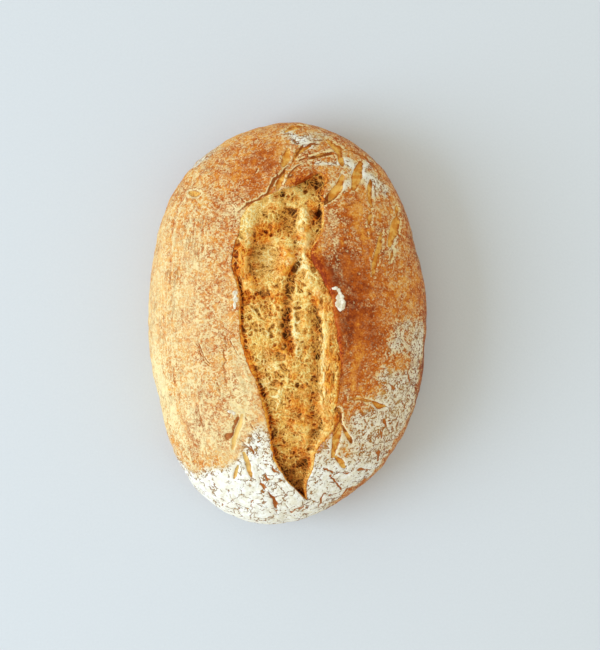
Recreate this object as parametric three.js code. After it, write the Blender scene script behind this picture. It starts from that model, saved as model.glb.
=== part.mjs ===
// An oval sourdough loaf, baked free-standing on a flat stone: one piece of bread with a domed crust,
// torn open along its length. The tear shows the crumb, which lies a few millimetres under the crust's
// edges: a broad mass on the left, a narrower one on the right, a crease between them, two round
// hollows near the top and a steep wall along the right edge.
// Millimetres. X runs across the loaf, Y along it, Z up. The origin is on the base, at the middle of
// the box round the loaf.

import * as THREE from 'three';
import { mergeVertices } from 'three/addons/utils/BufferGeometryUtils.js';

// Driving dimensions.
const HEIGHT = 90;
const WIDEST_Z = 32;
const MEAN_RADIUS = 112.6;
const FOOT_SHARE = 0.86;
const DOME_FLATNESS = 2.3;
const DOME_FULLNESS = 2;

// The outline in plan: how far each wave round the loaf moves it from the mean radius, as
// [cosine, sine]. The second wave makes the oval, the others its lopsidedness.
const OUTLINE_WAVES = [
  [-1.4, 0.4],
  [-20.9, 0.6],
  [1.9, 0.6],
  [1.6, -1.5],
  [-0.6, -0.1],
  [0.4, 1.0],
];
const OUTLINE_SHIFT = new THREE.Vector2(0, 0.8);

// The tear's two edges, as [y, x] from its bottom tip to its top tip.
const RIGHT_EDGE = [
  [-116.5, 12.5], [-105, 12], [-95, 16], [-82.5, 19], [-67, 30.5], [-52, 32], [-24, 34],
  [0, 31], [22, 26.5], [43.5, 15.5], [59.5, 22.5], [85.5, 23.5], [94, 26.5], [98.5, 21.5],
];
const LEFT_EDGE = [
  [-116.5, 12.5], [-104, 0.5], [-94, -5.5], [-84, -10], [-58, -14], [-33.5, -21.5], [-8, -29.5],
  [21.5, -31], [40, -34.5], [58.5, -30.5], [69, -28.5], [77, -22], [83, -11], [92, 8.5],
  [98.5, 21.5],
];

// How deep the crumb lies under the dome, and how wide the slope is that leads down to it from the
// left edge and from the right one, each as [y, value].
const CRUMB_DEPTH = [
  [-116.5, 4], [-110, 8.5], [-95, 8.5], [-75, 6], [-50, 4.6], [-10, 3.6], [20, 4.2], [60, 5],
  [88, 4.6], [98.5, 2.5],
];
const LEFT_SLOPE = [
  [-116.5, 1.5], [-90, 2], [-45, 3], [15, 2], [40, 3], [52, 11], [72, 15], [84, 6], [98.5, 2],
];
const RIGHT_SLOPE = [
  [-116.5, 2], [-92, 5], [-70, 9], [-40, 13], [-5, 13], [25, 7], [45, 3], [98.5, 3],
];

// Long forms in the crumb: a route of [x, y] points, half its width, and its height over the crumb.
const CRUMB_RUNS = {
  crease: {
    route: [[8.5, 45.5], [4.5, 35.5], [1, 17], [-1, -1], [2, -15]],
    half: 5,
    height: -5.5,
  },
  gutter: {
    route: [[17, 7], [19.5, -11.5], [19, -30], [17.5, -49.5], [19, -68.5], [12, -92]],
    half: 5,
    height: -2.4,
  },
  rightRidge: {
    route: [[10.5, 70], [11, 61.5], [10.5, 52], [13, 40.5], [20.5, 19], [24, 7.5]],
    half: 5,
    height: 3.2,
  },
  leftRim: {
    route: [[-29, 52], [-31, 42], [-30, 30], [-26, 20]],
    half: 4.5,
    height: 3,
  },
};
// Round forms in the crumb: centre, half widths across and along, and height over the crumb.
const CRUMB_SPOTS = {
  largeHollow: { at: [-14.5, 39], half: [12, 13], height: -6 },
  upperHollow: { at: [1.5, 66], half: [8.5, 10], height: -6 },
  knob: { at: [2.5, 45], half: [8, 8], height: 3.4 },
  sideHole: { at: [20, 70.5], half: [3.5, 4], height: -4 },
  tipHollow: { at: [18, 90], half: [7, 6], height: -2.5 },
};
// Where a form has faded out, as a share of its half width. It is at full height at this share less one.
const RUN_END = 1.25;
const SPOT_END = 1.3;

// Folds of crust: each is a flap that ends along its route, high on the route's left and overhanging
// the lower crust on its right. A height fades out behind the edge over the fold's reach.
const CRUST_FOLDS = {
  upperLeft: {
    route: [[-41, 66], [-30, 72], [-22, 77], [-11, 83.5], [-4.5, 93], [3, 106]],
    height: 2.2,
    reach: 10,
  },
  overTip: {
    route: [[-3.5, 88.5], [8.5, 92.5], [17.5, 97], [25, 100]],
    height: 1.8,
    reach: 9,
  },
  shoulder: {
    route: [[6, 108], [16, 117], [30, 114], [42, 106]],
    height: 1.4,
    reach: 8,
  },
};
// The share of a fold's length over which it rises from nothing at either end.
const FOLD_END_SHARE = 1 / 6;
// Bare stretch marks where the skin of the dough gave way: route, half width and height.
const STRETCH_MARKS = [
  { route: [[46.5, 103], [41.5, 88]], half: 5, height: -1.1 },
  { route: [[35, 93], [24, 78]], half: 4, height: -1.2 },
  { route: [[59, 58], [54, 32]], half: 4, height: -1 },
  { route: [[70, 67], [65, 50]], half: 4.5, height: -1.1 },
  { route: [[1.5, 112], [-4, 99]], half: 4.5, height: -1.2 },
  { route: [[33, -63], [29.5, -83]], half: 4.5, height: -1.8 },
  { route: [[-35, -66], [-39, -77]], half: 3.5, height: -3.2 },
];
// The lip: how far the crust rises beside the tear, and how far from it.
const RIM_HEIGHT = 1.2;
const RIM_REACH = 7;

// Flour lumps that stick to the crust beside the tear: centre, half widths and height.
const FLOUR_LUMPS = {
  right: { at: [36, 16.5], half: [3.2, 5.2], height: 1.8 },
  left: { at: [-34, 15], half: [2.2, 4.6], height: 1.3 },
};

// Unevenness: size of one lump in plan, and height.
const CRUST_WAVES = [[46, 0.9], [17, 0.45]];
const CRUMB_CRAGS = [[13, 1.6], [6.5, 1.4]];

// The mesh: columns round the loaf, and rings over each part of it.
const COLUMNS = 172;
const CRUMB_RINGS = 11;
const CRUST_RINGS = 16;
const SIDE_RINGS = 6;
const FIRST_CRUMB_RING = 0.07;
// How much closer together the columns stand at the two ends of the outline than along its sides.
const END_CROWDING = 1.45;
const PAD_HALF = 32;
const MERGE_DISTANCE = 0.001;

function clamp01(value) {
  return Math.min(Math.max(value, 0), 1);
}

function smooth(value) {
  const t = clamp01(value);
  return t * t * (3 - 2 * t);
}

// Reads a table of [place, value] pairs as a smooth curve through them.
function readCurve(table, place) {
  const last = table.length - 1;
  const at = THREE.MathUtils.clamp(place, table[0][0], table[last][0]);
  let i = 0;
  while (i < last - 1 && at > table[i + 1][0]) i += 1;
  const slope = (k) => {
    const a = table[Math.max(k - 1, 0)];
    const b = table[Math.min(k + 1, last)];
    return (b[1] - a[1]) / (b[0] - a[0]);
  };
  const [x0, y0] = table[i];
  const [x1, y1] = table[i + 1];
  const span = x1 - x0;
  const t = (at - x0) / span;
  const rise = (2 * t ** 3 - 3 * t ** 2 + 1) * y0 + (3 * t ** 2 - 2 * t ** 3) * y1;
  return rise + span * ((t ** 3 - 2 * t ** 2 + t) * slope(i) + (t ** 3 - t ** 2) * slope(i + 1));
}

// A repeatable number from -1 to 1 for each knot of a plan grid.
function knotValue(ix, iy, seed) {
  let h = Math.imul(ix, 374761393) ^ Math.imul(iy, 668265263) ^ Math.imul(seed, 974634777);
  h = Math.imul(h ^ (h >>> 13), 1274126177);
  return ((h ^ (h >>> 16)) >>> 0) / 2147483648 - 1;
}

// Smooth noise over the plan, from -1 to 1, with lumps of the given size.
function lumps(x, y, size, seed) {
  const [u, v] = [x / size, y / size];
  const [ix, iy] = [Math.floor(u), Math.floor(v)];
  const [fx, fy] = [smooth(u - ix), smooth(v - iy)];
  const low = THREE.MathUtils.lerp(knotValue(ix, iy, seed), knotValue(ix + 1, iy, seed), fx);
  const high = THREE.MathUtils.lerp(knotValue(ix, iy + 1, seed), knotValue(ix + 1, iy + 1, seed), fx);
  return THREE.MathUtils.lerp(low, high, fy);
}

function unevenness(x, y, layers) {
  return layers.reduce((sum, [size, height], i) => sum + height * lumps(x, y, size, i + 1), 0);
}

// The nearest point of a route: its distance, on which side it lies (above 0 on the left), and how
// far along the route it is, from 0 to 1.
function nearRoute(route, x, y) {
  let best = { distance: Infinity, side: 0, along: 0 };
  for (let i = 0; i < route.length - 1; i += 1) {
    const [ax, ay] = route[i];
    const [dx, dy] = [route[i + 1][0] - ax, route[i + 1][1] - ay];
    const t = clamp01(((x - ax) * dx + (y - ay) * dy) / (dx * dx + dy * dy));
    const distance = Math.hypot(x - ax - t * dx, y - ay - t * dy);
    if (distance < best.distance) {
      const side = Math.sign(dx * (y - ay) - dy * (x - ax));
      best = { distance, side, along: (i + t) / (route.length - 1) };
    }
  }
  return best;
}

function runHeight({ route, half, height }, x, y) {
  return height * smooth(RUN_END - nearRoute(route, x, y).distance / half);
}

function spotHeight({ at, half, height }, x, y) {
  const away = Math.hypot((x - at[0]) / half[0], (y - at[1]) / half[1]);
  return height * smooth(SPOT_END - away);
}

function foldHeight({ route, height, reach }, x, y) {
  const { distance, side, along } = nearRoute(route, x, y);
  const ends = smooth(along / FOLD_END_SHARE) * smooth((1 - along) / FOLD_END_SHARE);
  return side > 0 ? height * ends * Math.exp(-((distance / reach) ** 2)) : 0;
}

function total(forms, heightOf, x, y) {
  return Object.values(forms).reduce((sum, form) => sum + heightOf(form, x, y), 0);
}

function outlineRadius(angle) {
  let radius = MEAN_RADIUS;
  OUTLINE_WAVES.forEach(([cosine, sine], i) => {
    radius += cosine * Math.cos((i + 1) * angle) + sine * Math.sin((i + 1) * angle);
  });
  return radius;
}

// The smooth dome, without any relief.
function domeHeight(x, y) {
  const [px, py] = [x - OUTLINE_SHIFT.x, y - OUTLINE_SHIFT.y];
  const share = Math.min(Math.hypot(px, py) / outlineRadius(Math.atan2(py, px)), 1);
  return WIDEST_Z + (HEIGHT - WIDEST_Z) * (1 - share ** DOME_FLATNESS) ** (1 / DOME_FULLNESS);
}

function crumbHeight(x, y) {
  const fromLeft = x - readCurve(LEFT_EDGE, y);
  const fromRight = readCurve(RIGHT_EDGE, y) - x;
  const downLeft = smooth(fromLeft / readCurve(LEFT_SLOPE, y));
  const downRight = smooth(fromRight / readCurve(RIGHT_SLOPE, y));
  const forms = total(CRUMB_RUNS, runHeight, x, y) + total(CRUMB_SPOTS, spotHeight, x, y);
  const crags = unevenness(x, y, CRUMB_CRAGS);
  return domeHeight(x, y) - downLeft * downRight * (readCurve(CRUMB_DEPTH, y) - forms - crags);
}

// Relief of the crust over the dome, given the distance from the tear's edge.
function crustRelief(x, y, fromTear) {
  const rim = RIM_HEIGHT * Math.exp(-((fromTear / RIM_REACH) ** 2));
  const folds = total(CRUST_FOLDS, foldHeight, x, y);
  const marks = total(STRETCH_MARKS, runHeight, x, y);
  const lumpsOfFlour = total(FLOUR_LUMPS, spotHeight, x, y);
  return rim + folds + marks + lumpsOfFlour + unevenness(x, y, CRUST_WAVES);
}

// Where a column meets the tear's edge and the loaf's outline. Columns start at the bottom and go
// round by the right.
function columnEnds(column) {
  const angle = (2 * Math.PI * column) / COLUMNS;
  const [bottom, top] = [RIGHT_EDGE[0][0], RIGHT_EDGE.at(-1)[0]];
  const y = (bottom + top) / 2 - ((top - bottom) / 2) * Math.cos(angle);
  const left = readCurve(LEFT_EDGE, y);
  const right = readCurve(RIGHT_EDGE, y);
  const round = Math.atan2(-END_CROWDING * Math.cos(angle), Math.sin(angle));
  const rim = new THREE.Vector2(Math.cos(round), Math.sin(round)).multiplyScalar(outlineRadius(round));
  return {
    edge: new THREE.Vector2(column <= COLUMNS / 2 ? right : left, y),
    spine: new THREE.Vector2((left + right) / 2, y),
    rim: rim.add(OUTLINE_SHIFT),
  };
}

function pointsOfColumn(column) {
  const { edge, spine, rim } = columnEnds(column);
  const points = [];
  for (let ring = CRUMB_RINGS; ring >= 1; ring -= 1) {
    const share = FIRST_CRUMB_RING + ((1 - FIRST_CRUMB_RING) * (ring - 1)) / (CRUMB_RINGS - 1);
    const place = edge.clone().lerp(spine, share);
    points.push(new THREE.Vector3(place.x, place.y, crumbHeight(place.x, place.y)));
  }
  for (let ring = 0; ring <= CRUST_RINGS; ring += 1) {
    const share = Math.sin((0.5 * Math.PI * ring) / CRUST_RINGS);
    const place = edge.clone().lerp(rim, share);
    const fade = Math.sqrt(1 - share * share);
    const relief = crustRelief(place.x, place.y, place.distanceTo(edge));
    points.push(new THREE.Vector3(place.x, place.y, domeHeight(place.x, place.y) + fade * relief));
  }
  for (let ring = 1; ring <= SIDE_RINGS; ring += 1) {
    const angle = (0.5 * Math.PI * ring) / SIDE_RINGS;
    const share = FOOT_SHARE + (1 - FOOT_SHARE) * Math.cos(angle);
    const place = rim.clone().sub(OUTLINE_SHIFT).multiplyScalar(share).add(OUTLINE_SHIFT);
    const height = ring === SIDE_RINGS ? 0 : WIDEST_Z * (1 - Math.sin(angle));
    points.push(new THREE.Vector3(place.x, place.y, height));
  }
  return points;
}

// The flat base, as a ring of faces round a square pad.
function baseFaces(foot) {
  const square = [[-1, -1], [1, -1], [1, 1], [-1, 1]];
  const pad = square.map(([x, y]) => new THREE.Vector2(x * PAD_HALF, y * PAD_HALF));
  const flat = foot.map((p) => new THREE.Vector2(p.x, p.y));
  const corners = [...flat, ...pad].map((p) => new THREE.Vector3(p.x, p.y, 0));
  const faces = THREE.ShapeUtils.triangulateShape(flat, [pad.slice().reverse()]);
  // The pad went in as a hole, with its corners in reverse.
  const first = flat.length;
  const forwards = (i) => (i < first ? i : first + 3 - (i - first));
  const named = faces.map((face) => face.map(forwards));
  named.push([first, first + 1, first + 2], [first, first + 2, first + 3]);
  return named.map((face) => face.slice().reverse().map((i) => corners[i]));
}

function loafGeometry() {
  const columns = Array.from({ length: COLUMNS }, (_, column) => pointsOfColumn(column));
  const faces = [];
  columns.forEach((near, column) => {
    const far = columns[(column + 1) % COLUMNS];
    for (let ring = 0; ring < near.length - 1; ring += 1) {
      faces.push([near[ring], near[ring + 1], far[ring + 1]], [near[ring], far[ring + 1], far[ring]]);
    }
  });
  faces.push(...baseFaces(columns.map((points) => points.at(-1))));
  const soup = new THREE.BufferGeometry().setFromPoints(faces.flat());
  const merged = mergeVertices(soup, MERGE_DISTANCE);
  const index = merged.index.array;
  const kept = [];
  for (let i = 0; i < index.length; i += 3) {
    const [a, b, c] = index.subarray(i, i + 3);
    if (a !== b && b !== c && a !== c) kept.push(a, b, c);
  }
  merged.setIndex(kept);
  merged.computeBoundingBox();
  const middle = merged.boundingBox.getCenter(new THREE.Vector3());
  merged.translate(-middle.x, -middle.y, 0);
  merged.computeVertexNormals();
  return merged;
}

const crust = new THREE.MeshStandardMaterial({ color: 0xc8843f, roughness: 0.8, metalness: 0 });
const loaf = new THREE.Mesh(loafGeometry(), crust);
loaf.name = 'loaf';

const part = new THREE.Group();
part.add(loaf);

export default part;
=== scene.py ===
"""The looks of an oval sourdough loaf, torn open along its length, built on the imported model's frame."""

import math
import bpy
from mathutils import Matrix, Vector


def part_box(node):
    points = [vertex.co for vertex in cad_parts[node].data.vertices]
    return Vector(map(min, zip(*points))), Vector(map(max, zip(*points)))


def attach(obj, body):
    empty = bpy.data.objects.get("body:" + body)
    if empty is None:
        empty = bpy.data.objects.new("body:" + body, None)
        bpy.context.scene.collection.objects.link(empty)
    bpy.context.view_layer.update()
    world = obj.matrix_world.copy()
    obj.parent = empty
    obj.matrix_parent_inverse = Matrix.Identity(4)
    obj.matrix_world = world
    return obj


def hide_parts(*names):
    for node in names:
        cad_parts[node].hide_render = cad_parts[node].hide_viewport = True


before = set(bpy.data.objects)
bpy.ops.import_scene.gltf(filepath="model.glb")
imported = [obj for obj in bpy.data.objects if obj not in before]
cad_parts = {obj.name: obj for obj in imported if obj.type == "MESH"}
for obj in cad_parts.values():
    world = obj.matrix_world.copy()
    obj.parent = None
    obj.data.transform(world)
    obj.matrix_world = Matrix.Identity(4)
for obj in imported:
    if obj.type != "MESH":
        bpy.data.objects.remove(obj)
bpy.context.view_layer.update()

from types import SimpleNamespace

import bpy
import numpy as np

# The crust: the browned skin of the loaf, from its flat base up over the dome to the torn lip. It is
# baked dough, dusted with flour where the proving basket held it, stretched and folded near the top,
# and it ends in a thin burnt edge all round the tear.

MM = 0.001

# The dome and its outline in plan, in millimetres, as on the solid.
HEIGHT = 90.0
WIDEST_Z = 32.0
MEAN_RADIUS = 112.6
FOOT_SHARE = 0.86
DOME_FLATNESS = 2.3
OUTLINE_WAVES = [(-1.4, 0.4), (-20.9, 0.6), (1.9, 0.6), (1.6, -1.5), (-0.6, -0.1), (0.4, 1.0)]
OUTLINE_SHIFT_Y = 0.8
SWELLS = [(46, 0.9), (17, 0.45)]

# The tear's two edges, as (y, x) from its bottom tip to its top tip.
RIGHT_EDGE = [
    (-116.5, 12.5), (-105, 12), (-95, 16), (-82.5, 19), (-67, 30.5), (-52, 32), (-24, 34), (0, 31),
    (22, 26.5), (43.5, 15.5), (59.5, 22.5), (85.5, 23.5), (94, 26.5), (98.5, 21.5),
]
LEFT_EDGE = [
    (-116.5, 12.5), (-104, 0.5), (-94, -5.5), (-84, -10), (-58, -14), (-33.5, -21.5), (-8, -29.5),
    (21.5, -31), (40, -34.5), (58.5, -30.5), (69, -28.5), (77, -22), (83, -11), (92, 8.5), (98.5, 21.5),
]

# Folds of crust: height, reach and route. Each ends in a step along its route, high on the route's left,
# or on its right where the height is below 0.
FLAPS = [
    (2, 7, [(-34.5, 69.5), (-24, 78), (-13, 83), (-8.5, 93), (-4, 97.5), (2.5, 104.5)]),
    (1.8, 8, [(-4, 86.5), (4, 89.5), (11, 93.5), (18, 97)]),
    (0.9, 4, [(4, 106), (6, 111.5), (10, 116.5), (18, 118), (25, 117.5)]),
    (0.9, 4, [(2.5, 101.5), (8, 107), (13, 109), (20.5, 110), (27, 112), (31.5, 113.5)]),
    (0.6, 4, [(1, 124.5), (2.5, 120.5), (6.5, 119), (13, 120), (20.5, 120.5), (25, 121)]),
    (0.5, 2.5, [(-7.3, 103), (-6, 95), (-10.5, 84)]),
    (0.6, 2.5, [(-0.5, 91), (1.5, 97), (6.5, 102.5), (11, 104.5)]),
    (0.35, 2, [(-16.5, 107), (-19, 99), (-23, 94)]), (0.4, 2, [(-33, 84), (-28, 79), (-25, 75.5)]),
    (0.35, 2, [(-38, 79), (-34, 74), (-33, 69)]), (-0.8, 4, [(4, 97), (0, 92.5), (-2, 88)]),
    (1, 4, [(34.5, -55), (34.5, -62), (37, -68), (41, -75), (42, -78.5)]),
    (-1.2, 5, [(-31, -58.5), (-34.5, -67.5), (-37, -75.5)]),
    (0.5, 2.5, [(-28, -74.5), (-23, -79), (-19.5, -86)]),
    (0.5, 2.5, [(-27, -59), (-23, -65), (-17, -74)]), (0.5, 3, [(-57.5, -8), (-53.5, -20), (-47.5, -27)]),
    (0.5, 3, [(-37.5, -8), (-34.5, -14.5), (-30.5, -20), (-27, -25.5)]),
    (-0.6, 3, [(25, 77), (32.5, 82.5), (39, 86.5)]), (0.5, 3, [(49.5, 64.5), (51.5, 60.5), (52.5, 54)]),
]

# Bare golden marks where the skin stretched as the loaf rose: half width and route.
STRETCH_MARKS = [
    (3.3, [(47.5, 105.5), (45, 96.5), (42.5, 87.5)]),
    (2.7, [(36, 95.5), (33, 88.5), (29, 83), (23.5, 77.5)]), (1.6, [(54, 94), (53, 85), (54, 76)]),
    (1.3, [(54, 71.5), (52.5, 64)]), (3.2, [(72.5, 69.5), (70.5, 63.5), (66.5, 51.5)]),
    (1.3, [(72, 77.5), (72, 71)]), (2, [(60.5, 58.5), (59, 48.5), (56, 39.5), (55, 31)]),
    (0.9, [(68.5, 48.5), (67, 40)]), (2.6, [(0, 113), (-0.5, 108.5), (-2.5, 102)]),
    (1.6, [(4, 106), (6.5, 111.5), (11, 114.5), (14.5, 116.5)]),
    (1.2, [(14.5, 108), (20.5, 109.5), (28.5, 111.5)]),
    (2, [(26.5, 121), (30.5, 117.5), (33.5, 113), (35, 109)]), (2, [(33.5, 110.5), (35, 107), (36, 103)]),
    (1.9, [(-2, 98.5), (-4, 92.5), (-6, 86.5)]), (1.3, [(11.5, 131.5), (3.5, 129.5), (-2, 126)]),
    (1.2, [(36, 115), (30, 118.5), (25.5, 121.5)]), (2.3, [(33, -55), (33, -65), (31, -76), (29, -86)]),
    (1.3, [(35.5, -66.5), (38.5, -73), (41, -78)]), (1.9, [(31, -86.5), (34.5, -90.5), (37.5, -94)]),
    (1, [(40, -49), (48.5, -49), (54.5, -51)]), (2, [(55.5, -51.5), (59, -53.5), (63, -54.5)]),
    (1.5, [(-28.5, -59), (-32.5, -70.5), (-35.5, -81)]), (1.1, [(-32, -92.5), (-34, -101)]),
    (1.6, [(-28.5, -84), (-25, -92.5), (-23.5, -100.5)]), (2.2, [(-64, 85.5), (-60.5, 85.5), (-57, 85)]),
]
MARK_DEPTH = 1.3

# Cracks that go right through the flour or the skin: half width, depth and route.
CRACKS = [
    (0.7, 0.8, [(-19.5, -99), (-15, -105.5), (-11.5, -112)]),
    (1.5, 1.4, [(-11.5, -111), (-9.5, -116), (-7.5, -123.5)]), (0.8, 0.8, [(-14, -98), (-11.5, -103)]),
    (0.8, 0.8, [(-10.5, -92), (-8.5, -95.5), (-6, -97)]), (0.5, 0.5, [(-29, -103.5), (-29.5, -108.5)]),
    (0.5, 0.5, [(-22, -114.5), (-24, -120.5), (-20, -122.5)]),
    (0.5, 0.4, [(-44.5, -118.5), (-43.5, -123.5)]),
    (0.7, 0.7, [(-2, -119), (2.5, -124.5), (8, -122.5), (15.5, -117)]),
    (0.7, 0.7, [(19.5, -122.5), (22, -115), (26.5, -112.5), (32, -111.5)]),
    (1.1, 0.9, [(22.5, -94), (27, -96.5), (31.5, -98)]),
    (0.8, 0.8, [(27.5, -99.5), (31, -103.5), (34, -107.5), (35, -111)]),
    (0.9, 0.7, [(34.5, -98), (41.5, -99)]), (0.8, 0.6, [(44.5, -96), (53, -97.5)]),
    (0.7, 0.6, [(36, -115.5), (39.5, -110.5), (43.5, -108.5)]),
    (0.6, 0.5, [(45.5, -110), (49, -106.5), (51.5, -101)]),
    (0.8, 0.6, [(58.5, -83), (59.5, -88), (58.5, -91.5)]),
    (0.7, 0.6, [(61, -68.5), (62, -73.5), (60.5, -77)]),
    (0.4, 0.4, [(-26.5, -122.5), (-28.5, -123.5), (-29.5, -126)]), (0.8, 0.6, [(71, 3), (76, 5)]),
    (0.7, 0.6, [(64.5, -39), (68.5, -42), (70.5, -44)]),
    (0.7, 0.6, [(77, -31), (79.5, -36.5), (81, -41)]), (0.6, 0.6, [(59.5, -61), (61.5, -64)]),
    (1.2, 0.7, [(62.5, -64), (64.5, -68)]), (0.6, 0.6, [(65, -69), (66.5, -74)]),
    (0.5, 0.5, [(47.5, -62), (54, -65.5)]), (0.6, 0.5, [(75, -51), (77, -53.5)]),
    (1, 0.8, [(36, 115.5), (43, 114.5), (50, 110.5), (55, 106.5), (59.5, 100.5), (61.5, 94)]),
    (0.6, 0.6, [(54.5, 94), (56.5, 88), (58, 83.5)]), (0.5, 0.4, [(35, 76.5), (41, 76), (47, 78.5)]),
    (0.55, 0.6, [(-39.5, -5.5), (-39, -14), (-40, -24), (-39.5, -35), (-38, -44.5)]),
    (0.5, 0.5, [(-58, -12.5), (-53.5, -23), (-48.5, -28)]),
    (0.6, 0.6, [(-45.5, -33.5), (-44, -41), (-40.5, -47)]), (0.6, 0.5, [(-57, -46.5), (-57, -49.5)]),
    (0.6, 0.5, [(-56, -60.5), (-55, -66.5)]), (0.6, 0.6, [(-29.5, -73.5), (-23, -81.5), (-19.5, -86)]),
    (1.2, 1.1, [(-31, -58.5), (-35.5, -69)]), (2.1, 1.7, [(-37, -71), (-39, -75.5)]),
]

# Soft golden streaks with less flour on them: half width and route.
STREAKS = [
    (3, [(45, -0.5), (45.5, -11.5), (46.5, -18.5), (42.5, -29.5), (41, -47)]),
    (4, [(35, 43.5), (39, 37), (38.5, 31)]), (2.2, [(48.5, 61), (50, 50.5)]),
    (2.6, [(45.5, 75.5), (44.5, 64)]), (1.6, [(33.5, 62), (35, 50)]), (1.2, [(36.5, 71), (46, 77)]),
]

# Soft zones of the crust, each a centre, two half widths and an amount. First where it is browner or paler
# than its mean.
TOAST_MEAN = 0.42
TOAST_ZONES = [
    (44, 18, 24, 60, 0.34), (38, -5, 8, 44, 0.12), (52, 34, 12, 16, -0.08), (60, -15, 16, 22, 0.14),
    (32, 66, 9, 14, 0.16), (86, -20, 9, 60, 0.22), (-18, 100, 28, 24, 0.18), (-38, 74, 14, 16, 0.12),
    (-48, 28, 12, 30, 0.08), (-60, -62, 9, 18, 0.1), (-88, 0, 12, 80, -0.12), (20, 112, 24, 12, 0.08),
    (70, 60, 12, 30, 0.12), (50, 104, 18, 14, 0.04), (-14.5, -60, 3, 11, 0.03), (29, 34, 9, 12, 0.26),
]
# Fine flour in the wrinkles of the skin, as a share of the skin that it covers.
DUSTING_MEAN = 0.36
DUSTING_ZONES = [
    (-60, 10, 26, 90, 0.16), (-62, -62, 24, 24, 0.12), (-18, 100, 24, 18, -0.14), (44, 12, 20, 56, -0.24),
    (30, 58, 5, 16, 0.16), (-30, 70, 12, 8, 0.14), (-28, -44, 11, 30, 0.31), (66, 60, 8, 26, 0.06),
    (88, -20, 8, 50, -0.06), (84, 22, 7, 16, -0.12), (-14.5, -60, 3, 11, -0.12), (-44, -74, 14, 10, 0.12),
    (-84, -46, 10, 30, 0.42),
]
# A film of flour, pale over light skin and grey over dark skin.
FILM_ZONES = [
    (-60, 0, 24, 90, 0.24), (-92, 0, 14, 90, 0.34), (-59, -64, 9, 17, 0.45), (-64, -2, 9, 22, 0.16),
    (-62, 44, 7, 9, 0.3), (-66, 27, 6, 8, 0.2), (-40, 12, 6, 16, 0.18), (-34, 72, 12, 8, 0.4),
    (-28, -44, 12, 30, 0.46), (-42, -70, 18, 14, 0.4), (28, 62, 4, 15, 0.4), (35, 26, 4, 12, 0.14),
    (36, -20, 3, 26, 0.12), (-14.5, -60, 4, 12, 0.2), (-30, -90, 9, 13, 0.5),
]
# Flour thick enough to hide the skin: the lower end, below a line from left to right, and patches.
WHITE_LIMIT = [
    (-95, -62), (-75, -78), (-63, -88), (-56, -90), (-46, -86), (-35, -82), (-29, -74), (-24, -64),
    (-18, -54), (0, -56), (15, -62), (25, -62), (31, -56), (36, -46), (42, -40), (49, -35), (56, -32),
    (61, -22), (64, -6), (70, 4), (80, 9), (95, 12),
]
FLOUR_ZONES = [
    (40, 106, 8, 5, 0.78), (50, 99, 11, 8, 0.74), (34, 91, 8, 6, 0.56), (62, 86, 9, 14, 0.64),
    (72, 52, 7, 24, 0.5), (76, -10, 9, 16, 0.66), (20, 126, 26, 6, 0.6), (12, 118.5, 10, 4, 0.52),
    (2, 123, 8, 4, 0.5), (-4, 90, 3, 6, 0.45), (22, 105, 14, 4, 0.66), (-67, 105, 9, 7, 0.58),
    (-57, 112.5, 10, 6, 0.6), (-47, 119, 9, 5, 0.52), (-82, -50, 10, 28, 0.45), (-92, 20, 5, 60, 0.44),
]
# Where the skin shows through the thick flour.
THIN_FLOUR_ZONES = [
    (44, -51, 9, 5, 0.5), (54, -42, 8, 5, 0.3), (71, -25, 8, 5, 0.5), (37, -60, 4, 12, 0.28),
    (36, -84, 6, 6, 0.14), (78, -8, 4, 10, 0.12),
]

# Where the lip is burnt to a dark red edge.
BURNT_EDGE = [
    (20, 36, 10, 14, 1.25), (27, 24, 7, 10, 0.7), (33, -12, 6, 24, 0.9), (9, 93, 13, 5, 1.0),
    (-21, -45, 8, 15, 0.35), (30, -62, 5, 9, 0.9), (22, -80, 5, 7, 0.4),
]

# The mesh: columns round the loaf, and rings over each part of it.
COLUMNS = 640
TRENCH_RINGS = 5
LIP_RINGS = 6
CRUST_RINGS = 122
SIDE_RINGS = 16
BASE_RINGS = 5
LIP_THICKNESS = 1.9
TRENCH_DEPTH = 17.0

# The gap of a place that is far outside every mark, crack and fold.
FAR_GAP = -6.0

# How far the thick flour thins out over its line, at the left and at the right of the loaf.
FLOUR_FADE_LEFT = 42
FLOUR_FADE_RIGHT = 30


def smooth(value):
    t = np.clip(value, 0.0, 1.0)
    return t * t * (3.0 - 2.0 * t)


def read_curve(table, place):
    """Reads a table of (place, value) pairs as a smooth curve through them."""
    places, values = np.array(table, float).T
    at = np.clip(place, places[0], places[-1])
    i = np.clip(np.searchsorted(places, at, side="left") - 1, 0, len(places) - 2)
    slopes = np.empty_like(values)
    slopes[1:-1] = (values[2:] - values[:-2]) / (places[2:] - places[:-2])
    slopes[0] = (values[1] - values[0]) / (places[1] - places[0])
    slopes[-1] = (values[-1] - values[-2]) / (places[-1] - places[-2])
    span = places[i + 1] - places[i]
    t = (at - places[i]) / span
    rise = (2 * t**3 - 3 * t**2 + 1) * values[i] + (3 * t**2 - 2 * t**3) * values[i + 1]
    return rise + span * ((t**3 - 2 * t**2 + t) * slopes[i] + (t**3 - t**2) * slopes[i + 1])


def knot_value(ix, iy, seed):
    """A repeatable number from -1 to 1 for each knot of a plan grid."""
    ix, iy = (np.asarray(k).astype(np.int64).astype(np.uint32) for k in (ix, iy))
    h = ix * np.uint32(374761393) ^ iy * np.uint32(668265263) ^ np.uint32(seed * 974634777 & 0xFFFFFFFF)
    h = (h ^ (h >> np.uint32(13))) * np.uint32(1274126177)
    return (h ^ (h >> np.uint32(16))) / 2147483648.0 - 1.0


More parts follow.
